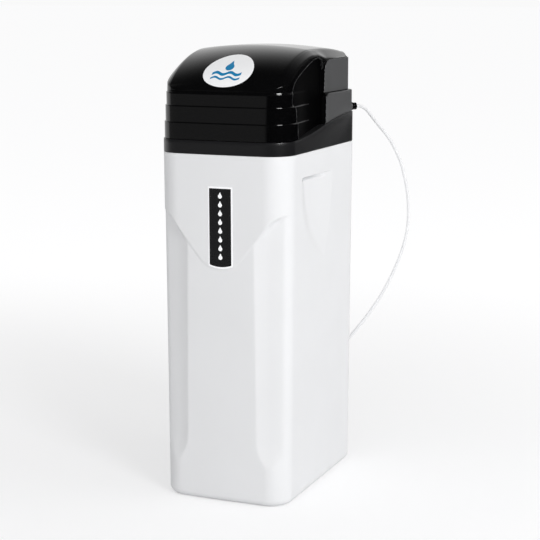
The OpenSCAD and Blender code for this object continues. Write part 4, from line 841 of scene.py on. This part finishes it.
class SOFTENER_OT_collar(bpy.types.Operator):
    """Moulds the black collar with its curved top edge and the window for the pipe ports"""

    bl_idname = "softener.collar"
    bl_label = "Collar"

    WALL, FLANGE, FLANGE_END = 6.0, 20.0, 16.0
    EDGE, FIT = 1.2, 0.3
    WINDOW_HALF, WINDOW_ROUND, WINDOW_Z = 70.6, 24.0, 865.0
    DRAIN_X, DRAIN_Z, DRAIN_R, CUT = -100.0, 850.0, 8.5, 14.0
    SHARP = 38

    def execute(self, context):
        s = context.scene.softener_sizes
        rim = mm(s.rim)
        plan = Plan(s, front=5, corner=24, side=runs((-184.5, 194.5, 5)), rear_corner=16, rear=9)
        top = collar_top(rim, plan.y)
        flange = np.where(plan.y < PART_Y + self.FLANGE_END, self.FLANGE, self.WALL)
        one, edge, foot = np.ones_like(top), self.EDGE, rim + self.FIT
        rows = [(0.9 * one, foot * one), (0 * one, (rim + edge) * one)]
        rows += [(0 * one, rim + edge + (top - rim - 2 * edge) * t) for t in (0.25, 0.5, 0.75, 1.0)]
        rows += [(0.35 * one, top - 0.35), (edge * one, top), (flange, top), (flange, top - 3)]
        rows += [(self.WALL * one, top - 3.2), (self.WALL * one, (rim + 3) * one)]
        rows += [(self.FLANGE * one, (rim + 3) * one), (self.FLANGE * one, foot * one), rows[0]]
        inset, z = np.array(rows).swapaxes(0, 1)
        x, y = plan.at(inset)
        shell = Shell()
        shell.grid(x, plan.bowed(x, y), z)
        shell.merge()
        piece = shell.build("head_collar", "base", [finish("black_collar")], ["collar"], self.SHARP)
        self.window(piece, plan.half_d)
        return {"FINISHED"}

    def window(self, piece, rear):
        """Cuts the window for the two ports and the hole for the drain through the rear wall."""
        cutter = Shell()
        half, r, z, cut = self.WINDOW_HALF, self.WINDOW_ROUND, self.WINDOW_Z, self.CUT
        outline = [(half - r + r * math.sin(a), z - r * math.cos(a)) for a in np.linspace(0, math.pi, 25)]
        outline += [(r - half - r * math.sin(a), z + r * math.cos(a)) for a in np.linspace(0, math.pi, 25)]
        n = len(outline)
        points = [(px, y, pz) for y in (rear - cut, rear + cut) for px, pz in outline]
        faces = [list(range(n)), list(reversed(range(n, 2 * n)))]
        faces += [[i, i + n, (i + 1) % n + n, (i + 1) % n] for i in range(n)]
        cutter.add(points, faces)
        drain = self.DRAIN_X, rear - cut, self.DRAIN_Z
        cutter.add(*round_bar(drain, (0, 1, 0), self.DRAIN_R, 2 * cut, edge=0.2))
        tool = cutter.build("window_cutter", "base", [finish("black_collar")])
        mesh = bmesh.new()
        mesh.from_mesh(tool.data)
        bmesh.ops.recalc_face_normals(mesh, faces=mesh.faces)
        mesh.to_mesh(tool.data)
        mesh.free()
        cut = piece.modifiers.new("port_window", "BOOLEAN")
        cut.operation, cut.object, cut.solver = "DIFFERENCE", tool, "EXACT"
        bpy.context.view_layer.update()
        done = piece.evaluated_get(bpy.context.evaluated_depsgraph_get())
        old, piece.data = piece.data, bpy.data.meshes.new_from_object(done)
        piece.modifiers.clear()
        bpy.data.meshes.remove(old)
        bpy.data.objects.remove(tool)
        piece.data.shade_smooth()
        piece.data.set_sharp_from_angle(angle=math.radians(self.SHARP))


class Dome:
    """Heights of the lid's dome, in millimetres."""

    NOSE_MID, NOSE_D, POWER = -35.0, 200.0, 1.6
    CROWN_X, CROWN = 138.0, 10.0
    FALL_Y, ROLL_Y, ROLL = 33.0, 198.5, 34.0
    FALL, SEAM, SEAM_WIDTH = 12.0, 0.9, 1.3
    SLOPE, SLOPE_MORE, SLOPE_Y, SLOPE_RUN = 0.87, 0.58, -10.0, 60.0
    START, CREASE = 25.0, 1.6

    def __init__(self, s):
        self.base, self.height = mm(s.dome_base), mm(s.dome_height)

    def spine(self, y):
        """Height of the middle line."""
        t = np.clip((self.NOSE_MID - y) / self.NOSE_D, 0, 1)
        nose = self.base + self.height * (1 - t ** self.POWER) ** (1 / self.POWER)
        fall = self.FALL * np.clip((y - self.FALL_Y) / (self.ROLL_Y - self.FALL_Y), 0, 1) ** 2
        over = np.clip((y - self.ROLL_Y) / self.ROLL, 0, 1)
        return nose - fall - self.ROLL * (1 - np.sqrt(1 - over ** 2))

    def top(self, x, y):
        """Crowned top with a slanting strip outside each shoulder crease."""
        spine = self.spine(y)
        ease = np.clip((spine - self.base) / self.START, 0, 1)
        crown = spine - self.CROWN * ease * (x / self.CROWN_X) ** 2
        slope = self.SLOPE + self.SLOPE_MORE * smooth((y - self.SLOPE_Y) / self.SLOPE_RUN)
        outside = np.abs(x) - self.CROWN_X
        strip = spine - self.CROWN * ease - slope * ease * outside
        seam = self.SEAM * ease * np.exp(-(outside / self.SEAM_WIDTH) ** 2)
        return lower_of(crown, strip, self.CREASE * ease) - seam


class SOFTENER_OT_lid(bpy.types.Operator):
    """Moulds the gloss-black lid: stepped bands, rounded nose, shoulder strips and side recesses"""

    bl_idname = "softener.lid"
    bl_label = "Lid"

    RECESS = [
        (-158, 850), (-159, 880), (-161, 905), (-164, 928), (-167, 942), (-173, 946), (-180, 948.5), (-184, 954),
        (-183, 965), (-179.5, 976), (-172, 988), (-160, 999.5), (-135, 1012), (-105, 1023.5), (-70, 1036),
        (-35, 1046), (-12, 1049), (4, 1047.5), (12, 1042), (16, 1030), (17, 1000), (17, 850),
    ]
    FLOOR_IN, FLOOR_LEAST, FADE_Y, FADE_RUN = 16.0, 4.5, -168.0, 105.0
    FOOT, ROW, EASE, EDGE = 866.0, 4.0, 1.1, 0.3
    STEEP, ROOF, CROWN = 40, 15, 44
    SHOULDER, WALL, ROOF_SLOPE = (9.4, 12.0, 31.0), 81.0, 18.0
    SPINE = (-95.0, 160.0)
    LINE, RIM, FLAT, LEDGE_Y, AWAY = 2.7, 2.2, 0.4, -60.0, 99.0
    KNUCKLE, PIN_HOLE = 12.0, 2.55

    def execute(self, context):
        s = context.scene.softener_sizes
        dome = Dome(s)
        side = runs((-184.5, PART_Y, 1.9)) + corner_run(20) + runs((PART_Y + CORNER_D + 6, 194.5, 8))
        plan = Plan(s, front=4, corner=30, side=side, rear_corner=12, rear=10)
        rows = self.rows(mm(s.band_step), dome)
        x, y, z, finishes, keep = self.skin(plan, dome, rows, mm(s.rim))
        shell = Shell()
        shell.grid(x, plan.bowed(x, y), z, finish=finishes)
        shell.faces = [face for face, kept in zip(shell.faces, keep) if kept]
        shell.finish = [look for look, kept in zip(shell.finish, keep) if kept]
        shell.merge()
        shell.thicken(mm(s.shell), finish=0)
        for sign in (-1, 1):
            self.knuckle(shell, sign * HINGE_X, plan.half_d)
        # The recess takes painted shade; its rim and ledge lines are a painted highlight in the paler collar black.
        materials = [finish("black_gloss"), finish("black_recess"), finish("black_collar")]
        shell.build("lid_shell", "lid", materials, ["lid"], sharp=32)
        return {"FINISHED"}

    def rows(self, step, dome):
        """Insets and heights of the bands and of the steep part of the dome."""
        ease, edge, low = self.EASE, self.EDGE, self.FOOT
        rows = []
        for k, top in enumerate((*BAND_TOPS, dome.base)):
            inset, stepped = step * (k + 1), k < len(BAND_TOPS)
            count = max(2, round((top - low) / self.ROW))
            line = self.LINE if stepped else ease
            rows += [(inset, low + (top - line - low) * i / count) for i in range(count + 1)]
            if stepped:
                rows.append((inset, top - ease))
            rows += [(inset + edge * ease, top - edge * ease), (inset + ease, top)]
            if stepped:
                rows.append((inset + step - edge, top))
                low = top + edge
        first, steep, last = self.SHOULDER
        for k in range(1, self.STEEP + 1):
            rows.append((first + (steep - first) * k / self.STEEP, dome.base + self.WALL * k / self.STEEP))
        roof = np.linspace(steep, last, self.ROOF)[1:]
        return rows + [(inset, dome.base + self.WALL + self.ROOF_SLOPE * (inset - steep)) for inset in roof]

    def skin(self, plan, dome, rows, rim):
        """Places of the skin, the finish of each face and which faces are kept."""
        flat = np.abs(plan.nx) > 0.99
        line = smooth_line(self.RECESS, 10)
        inset, wall = (column[:, None] for column in np.array(rows).T)
        inset, wall = inset + corner_ease(plan.nx, plan.ny), wall + 0 * plan.x
        x, y = plan.at(inset)
        ease = 5.0 * np.clip((wall - dome.base) / 30.0, 0, 1)
        z = np.where(wall > dome.base, lower_of(dome.top(x, y), wall, ease), wall)
        share = smooth((side_of(line, y, z) + 0.7) / 2.4) * flat
        fade = smooth((y - self.FADE_Y) / self.FADE_RUN)
        floor = (inset + self.FLOOR_LEAST) * (1 - fade) + self.FLOOR_IN * fade
        x, y = plan.at(inset + share * np.maximum(floor - inset, 0))
        behind = plan.y > PART_Y + 0.01
        low = np.where(behind, house_top(plan.y) + 1.0, collar_top(rim, plan.y) + 1.2)
        pressed, z = z < low, np.maximum(z, low)
        gap = side_of(line * (self.FLAT, 1), self.FLAT * y, z) - self.AWAY * ~flat
        cx, cy, cz = self.crown(dome, x[-1], y[-1])
        none = np.zeros_like(cx)
        x, y, z = np.concatenate([x, cx]), np.concatenate([y, cy]), np.concatenate([z, cz])
        share, gap = np.concatenate([share, none]), np.concatenate([gap, none - self.AWAY])
        finishes = self.finishes(share, gap, y, np.concatenate([wall, none])[:, 0])
        pressed = np.concatenate([pressed, none > 0])
        pressed = pressed[:-1] & pressed[1:]
        beside, turn = np.roll(pressed, -1, axis=1), behind != np.roll(behind, -1)
        keep = ~((pressed & beside) | ((pressed | beside) & turn))
        return x, y, z, finishes.ravel(), keep.ravel()

    def crown(self, dome, ring_x, ring_y):
        """Rows that close the dome between its last ring and its middle line."""
        share = (np.arange(1, self.CROWN + 1) / self.CROWN)[:, None]
        x, y = ring_x * (1 - share), ring_y * (1 - share) + np.clip(ring_y, *self.SPINE) * share
        return x, y, dome.top(x, y)

    def finishes(self, share, gap, y, wall):
        """Finish of each face: gloss, painted shade in the recess, or painted highlight lines along its rim and
        ledges.
        """
        shares, gaps, depths = (self.middle(values) for values in (share, gap, y))
        low, high, near = wall[:-1], wall[1:], 0.1
        ledges = [(low > top - self.LINE - near) & (low < top + near) & (high < top + near) for top in BAND_TOPS]
        # Painted shade in the recess, and painted highlight lines on its rim and on the ledges inside it.
        recess = shares > 0.55
        lines = (gaps > -self.RIM) & (gaps < self.EDGE)
        lines |= np.any(ledges, axis=0)[:, None] & recess & (depths < self.LEDGE_Y)
        return np.where(lines, 2, np.where(recess, 1, 0))

    @staticmethod
    def middle(values):
        """Value in the middle of each face of the skin."""
        rows = (values[:-1] + values[1:]) / 2
        return (rows + np.roll(rows, -1, axis=1)) / 2

    def knuckle(self, shell, x, half_d):
        """Adds one hinge knuckle and the block that joins it to the lid."""
        left, right = x - self.KNUCKLE, x + self.KNUCKLE
        shell.add(*round_bar((left, HINGE_Y, HINGE_Z), (1, 0, 0), HINGE_R, 2 * self.KNUCKLE, bore=self.PIN_HOLE))
        low = left, half_d - TIER_IN - 3, HINGE_Z + 2.6
        shell.add(*eased_block(low, (right, HINGE_Y, HINGE_Z + 2 * HINGE_R), 0.7))


class SOFTENER_OT_housing(bpy.types.Operator):
    """Moulds the two-tier rear housing with its hinge ears, lugs and gland boss"""

    bl_idname = "softener.housing"
    bl_label = "Rear housing"

    EAR_OUT, EAR_HALF, PIN_HOLE = 16.5, 4.0, 2.55
    EDGE, EDGE_GAP, EDGE_RETURN, TIER_ROUND = 8.0, 0.45, 10.0, 14.0
    LOWER_ROWS, UPPER_ROWS = 36, 46
    # Start, lean and the depth and height of the round top of the strip of painted shade on each tier
    STRIPS = ((10.0, 4.0, 28.0, 12.0), (17.0, 6.0, 38.0, 26.0))
    STRIP_IN, GROOVE = 2.5, 1.5
    LUGS, LUG_HALF, LUG_IN, LUG_RISE = (60.0, 170.0), 8.0, 9.2, 44.0
    BOSS_CORNER, BOSS_REACH, BOSS_R, BOSS_BORE = 48.0, 38.0, 13.0, 7.1

    def execute(self, context):
        s = context.scene.softener_sizes
        side = runs((PART_Y + 1, PART_Y + CORNER_D + 4, 0.8), (PART_Y + CORNER_D + 4, 194.5, 7))
        plan = Plan(s, front=60, corner=2, side=side, rear_corner=16, rear=8)
        x, y, z, finishes = self.skin(plan, mm(s.band_step), mm(s.rim))
        shell = Shell()
        shell.grid(x, y, z, closed=False, finish=finishes)
        shell.merge()
        shell.thicken(mm(s.shell), finish=0)
        self.fittings(shell, plan, mm(s.rim))
        # The second finish is painted shade for the dark strips and the groove between the tiers.
        materials = [finish("black_satin"), finish("black_recess")]
        shell.build("rear_housing_shell", "base", materials, ["rear_housing"], sharp=34)
        return {"FINISHED"}

    def columns(self, plan):
        """Outline of the tiers from one front edge round the rear to the other, and how far each edge turns in."""
        px, py, nx, ny = (a[plan.y > PART_Y + 0.2] for a in (plan.x, plan.y, plan.nx, plan.ny))
        order = np.argsort(np.arctan2(-px, py - 100.0))
        order = order[::-1] if px[order[0]] < 0 else order
        px, py, nx, ny = (a[order] for a in (px, py, nx, ny))
        turns = [math.radians(a) for a in np.linspace(90, 0, 8)[:-1]]
        ends = [(self.EDGE + self.EDGE_RETURN, self.EDGE_GAP)]
        ends += [(self.EDGE * (1 - math.cos(a)), self.EDGE_GAP + self.EDGE * (1 - math.sin(a))) for a in turns]
        inner = np.where(py > PART_Y + 0.5 + self.EDGE)[0]
        index = [inner[0]] * len(ends) + list(inner) + [inner[-1]] * len(ends)
        turned_in, behind = [e[0] for e in ends], [PART_Y + e[1] for e in ends]
        extra = np.array(turned_in + [0.0] * len(inner) + turned_in[::-1])
        return px[index], np.array(behind + list(py[inner]) + behind[::-1]), nx[index], ny[index], extra

    def skin(self, plan, step, rim):
        """Places of the skin and the finish of each face."""
        px, place, nx, ny, extra = self.columns(plan)
        inside = TIER_IN + corner_ease(nx, ny)
        top = house_top(place) - 0.2
        rise = np.clip((place - PART_Y) / self.TIER_ROUND, 0, 1)
        tier = TIER_TOP - self.TIER_ROUND + self.TIER_ROUND * np.sqrt(1 - (1 - rise) ** 2)
        foot, base = collar_top(rim, place) + 0.3, tier + self.GROOVE + 0.4
        out = step + 0 * place
        rows = [(out, foot + (tier - 1.6 - foot) * t) for t in np.linspace(0, 1, self.LOWER_ROWS)]
        rows += [(out + 0.9, tier - 0.9), (out + 2.6, tier), (inside - 0.4, tier),
                 (inside + 1.4, tier + 0.2), (inside + 1.4, tier + self.GROOVE)]
        rows += [(inside, base + (top - 0.8 - base) * t) for t in np.linspace(0, 1, self.UPPER_ROWS)]
        rows += [(inside + 0.25, top - 0.25), (inside + 1.0, top), (inside + 4.0, top)]
        inset, z = np.array(rows).swapaxes(0, 1)
        low, high = (self.strip(z, place, *span) for span in ((foot.min(), TIER_TOP, 0), (TIER_TOP, HOUSE_TOP, 1)))
        ledge = self.LOWER_ROWS + 2
        strip = np.where(np.arange(len(z))[:, None] < ledge, low, high)
        inset = inset + extra + self.STRIP_IN * strip * (np.abs(nx) > 0.9)
        # Painted shade: faces of the strip and of the groove under the upper tier take the black that reflects almost
        # nothing.
        black = (strip[:-1, :-1] + strip[1:, 1:]) / 2
        black[ledge:ledge + 3] = 1
        return px - inset * nx, place - inset * ny, z, (black > 0.5).astype(int).ravel()

    def strip(self, z, y, low, high, tier):
        """Share of the strip of painted shade along the leaning front edge of one tier."""
        start, lean, round_y, round_z = self.STRIPS[tier]
        rise = np.clip((z - low) / (high - low), 0, 1)
        turn = np.clip((z - high + round_z) / round_z, 0, 1)
        edge = PART_Y + start + lean * rise + round_y * (1 - np.sqrt(1 - turn ** 2))
        return smooth((edge - y[None, :]) / 3.0 + 0.5)

    def fittings(self, shell, plan, rim):
        """Adds the hinge ears, the lugs that sit in the collar and the boss of the tube's gland."""
        rear = plan.half_d - TIER_IN - 2
        for sign in (-1, 1):
            for off in (-self.EAR_OUT, self.EAR_OUT):
                x = sign * HINGE_X + off
                left, right = x - self.EAR_HALF, x + self.EAR_HALF
                shell.add(*round_bar((left, HINGE_Y, HINGE_Z), (1, 0, 0), HINGE_R, 2 * self.EAR_HALF,
                                     bore=self.PIN_HOLE))
                shell.add(*eased_block((left, rear, HINGE_Z - 12), (right, HINGE_Y, HINGE_Z - 2.6), 0.7))
            inner = sign * (plan.half_w - self.LUG_IN)
            low, high = sorted((inner, inner + sign * 3.0))
            for y in self.LUGS:
                shell.add(*eased_block((low, y - self.LUG_HALF, rim + self.LUG_RISE),
                                       (high, y + self.LUG_HALF, TIER_TOP - 1.5), 0.5))
        reach = self.BOSS_REACH * math.sqrt(0.5) - self.BOSS_CORNER
        origin = plan.half_w + reach, plan.half_d + reach, rim + GLAND_RISE
        shell.add(*round_bar(origin, (1, 1, 0), self.BOSS_R, 9.5, edge=1.0, bore=self.BOSS_BORE, count=64))


class SOFTENER_OT_badge(bpy.types.Operator):
    """Lays the white oval badge over the nose of the lid"""

    bl_idname = "softener.badge"
    bl_label = "Badge"

    HALF_X, HALF_Z, MIDDLE, SHIFT = 60.5, 35.0, 1024.5, 3.0
    NOSE, COUNT = (-234.9, -36.0), 96
    RINGS = (0.0, 0.15, 0.3, 0.45, 0.6, 0.75, 0.88, 0.96, 0.985, 1.0, 1.0)
    RISE = (0.9,) * 8 + (0.75, 0.4, -0.3)

    def execute(self, context):
        s = context.scene.softener_sizes
        dome, plan = Dome(s), coarse_plan(s)
        ys = np.linspace(*self.NOSE, 3000)
        zs = dome.spine(ys)
        turns = np.linspace(0, 2 * math.pi, self.COUNT, endpoint=False)
        points, marks = [], []
        for share, rise in zip(self.RINGS, self.RISE):
            x = self.SHIFT + self.HALF_X * share * np.cos(turns)
            y = np.interp(self.MIDDLE + self.HALF_Z * share * np.sin(turns), zs, ys)
            slope = np.interp(y, ys, np.gradient(zs, ys))
            steep = np.sqrt(1 + slope ** 2)
            z = dome.top(x, y) + rise / steep
            y = y - rise * slope / steep
            points.append(np.stack([x, plan.bowed(x, y), z], axis=-1))
            marks.append(np.stack([share * np.cos(turns), share * np.sin(turns)], axis=-1))
        points, marks = np.array(points), np.array(marks)
        shell = Shell()
        index = np.arange(len(points) * self.COUNT).reshape(len(points), self.COUNT)
        across = np.roll(index, -1, axis=1)
        shell.add(points, np.stack([index[:-1], index[1:], across[1:], across[:-1]], axis=-1).reshape(-1, 4))
        piece = shell.build("oval_badge", "lid", [finish("badge_foil")], ["lid_badge"], sharp=50)
        paint_map(piece, marks.reshape(-1, 2))
        return {"FINISHED"}


def coarse_plan(sizes):
    """Plan with few columns, for its bow and half sizes."""
    return Plan(sizes, front=60, corner=4, side=runs((-180, 180, 60)), rear_corner=4, rear=60)


def paint_map(piece, places):
    """Writes one map place per point, for printed marks."""
    layer = piece.data.uv_layers.new(name="UVMap")
    corners = np.zeros(len(piece.data.loops), np.int32)
    piece.data.loops.foreach_get("vertex_index", corners)
    layer.data.foreach_set("uv", places[corners].astype(np.float32).ravel())


class SOFTENER_OT_label(bpy.types.Operator):
    """Lays the black label with its white border on the front wall"""

    bl_idname = "softener.label"
    bl_label = "Front label"

    HALF, LOW, HEIGHT, SAG, EDGE, SHIFT = 31.0, 570.0, 192.0, 6.0, 0.7, 2.0
    COLUMNS, ROWS = 25, 60
    RISE = [-0.4, 0.25, 0.62, 0.8]

    def execute(self, context):
        s = context.scene.softener_sizes
        plan = coarse_plan(s)
        half, edge = self.HALF, self.EDGE
        across = [-half, -half, -half + edge * 0.4, -half + edge]
        across += list(np.linspace(-half + 2, half - 2, self.COLUMNS))
        across += [half - edge, half - edge * 0.4, half, half]
        u = np.array(across)
        bow = (half ** 2 + self.SAG ** 2) / (2 * self.SAG)
        low = bow - np.sqrt(bow ** 2 - u ** 2)
        t = np.array([0, 0, 0.002, 0.005] + list(np.linspace(0.012, 0.988, self.ROWS)) + [0.995, 0.998, 1, 1])
        v = low[None, :] + (self.HEIGHT - low[None, :]) * t[:, None]
        rise_u, rise_t = (np.array(self.RISE + self.RISE[-1:] * count + self.RISE[::-1])
                          for count in (self.COLUMNS, self.ROWS))
        rise = np.minimum(rise_u[None, :], rise_t[:, None])
        x = self.SHIFT + u[None, :] + 0 * v
        z = self.LOW + v
        wall = -plan.half_d + mm(s.lean) * (1 - z / mm(s.rim))
        shell = Shell()
        shell.grid(x, plan.bowed(x, wall) - rise, z, closed=False)
        piece = shell.build("label_plate", "base", [finish("label_foil")], ["front_label"], sharp=50)
        paint_map(piece, np.stack([x - self.SHIFT, v], axis=-1).reshape(-1, 2))
        return {"FINISHED"}


FITTING_FINISHES = {
    "black_gloss": ["line_gland", "line_gland_nut"],
    "black_satin": ["union_nuts", "panel_bezel"],
    "grey_moulded": ["valve_body", "drive_plate", "injector_cap", "inlet_adapter", "outlet_adapter", "drain_elbow",
                     "powerhead_cover", "power_inlet", "air_check"],
    "white_moulded": ["upper_strainer", "lower_strainer", "riser_tube", "turbine_cage", "brine_well", "well_cap",
                      "safety_valve", "salt_plate", "overflow_elbow", "overflow_nut", "line_elbow", "line_elbow_nut"],
    "steel": ["collar_screws", "housing_screws", "lid_hinge_pins", "plate_screws", "motor_screws", "drive_motor"],
    "rubber": ["lid_bumpers", "tank_boot", "tank_seal", "seal_stack", "port_washers"],
    "acetal": ["main_piston", "drive_gear", "reduction_gear", "check_ball"],
    "brass": ["motor_pinion"],
    "tank_wound": ["resin_tank"],
    "turbine": ["meter_turbine"],
    "foam": ["float"],
    "board": ["circuit_board"],
    "window": ["display_window"],
    "keys": ["button_1", "button_2", "button_3", "button_4"],
    "tube_milky": ["valve_line", "well_line"],
}


class SOFTENER_OT_fittings(bpy.types.Operator):
    """Gives the valve, the brine parts, the fasteners and the other fittings their finishes"""

    bl_idname = "softener.fittings"
    bl_label = "Fittings"

    def execute(self, context):
        for name, nodes in FITTING_FINISHES.items():
            for node in nodes:
                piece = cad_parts[node]
                piece.data.materials.clear()
                piece.data.materials.append(finish(name))
        return {"FINISHED"}


class SOFTENER_PT_pieces(bpy.types.Panel):
    """Lists the pieces of the softener"""

    bl_label = "Water softener"
    bl_idname = "SOFTENER_PT_pieces"
    bl_space_type = "VIEW_3D"
    bl_region_type = "UI"
    bl_category = "Softener"

    def draw(self, context):
        for group in (context.scene.softener_sizes, context.scene.softener_colours, context.scene.softener_studio):
            box = self.layout.box()
            for key in group.bl_rna.properties.keys():
                if key not in ("rna_type", "name"):
                    box.prop(group, key)
        for operator in OPERATORS:
            self.layout.operator(operator.bl_idname)


OPERATORS = (
    SOFTENER_OT_studio,
    SOFTENER_OT_brine_line,
    SOFTENER_OT_cabinet,
    SOFTENER_OT_collar,
    SOFTENER_OT_lid,
    SOFTENER_OT_housing,
    SOFTENER_OT_badge,
    SOFTENER_OT_label,
    SOFTENER_OT_fittings,
)
GROUPS = {
    "softener_sizes": SoftenerSizes,
    "softener_colours": SoftenerColours,
    "softener_studio": SoftenerStudio,
}
CLASSES = (*GROUPS.values(), *OPERATORS, SOFTENER_PT_pieces)


def register():
    for cls in CLASSES:
        bpy.utils.register_class(cls)
    for key, group in GROUPS.items():
        setattr(bpy.types.Scene, key, PointerProperty(type=group))


def unregister():
    for key in GROUPS:
        delattr(bpy.types.Scene, key)
    for cls in reversed(CLASSES):
        bpy.utils.unregister_class(cls)


def main():
    register()
    bpy.ops.softener.studio()
    bpy.ops.softener.brine_line()
    bpy.ops.softener.cabinet()
    bpy.ops.softener.collar()
    bpy.ops.softener.lid()
    bpy.ops.softener.housing()
    bpy.ops.softener.badge()
    bpy.ops.softener.label()
    bpy.ops.softener.fittings()


if __name__ == "__main__":
    main()
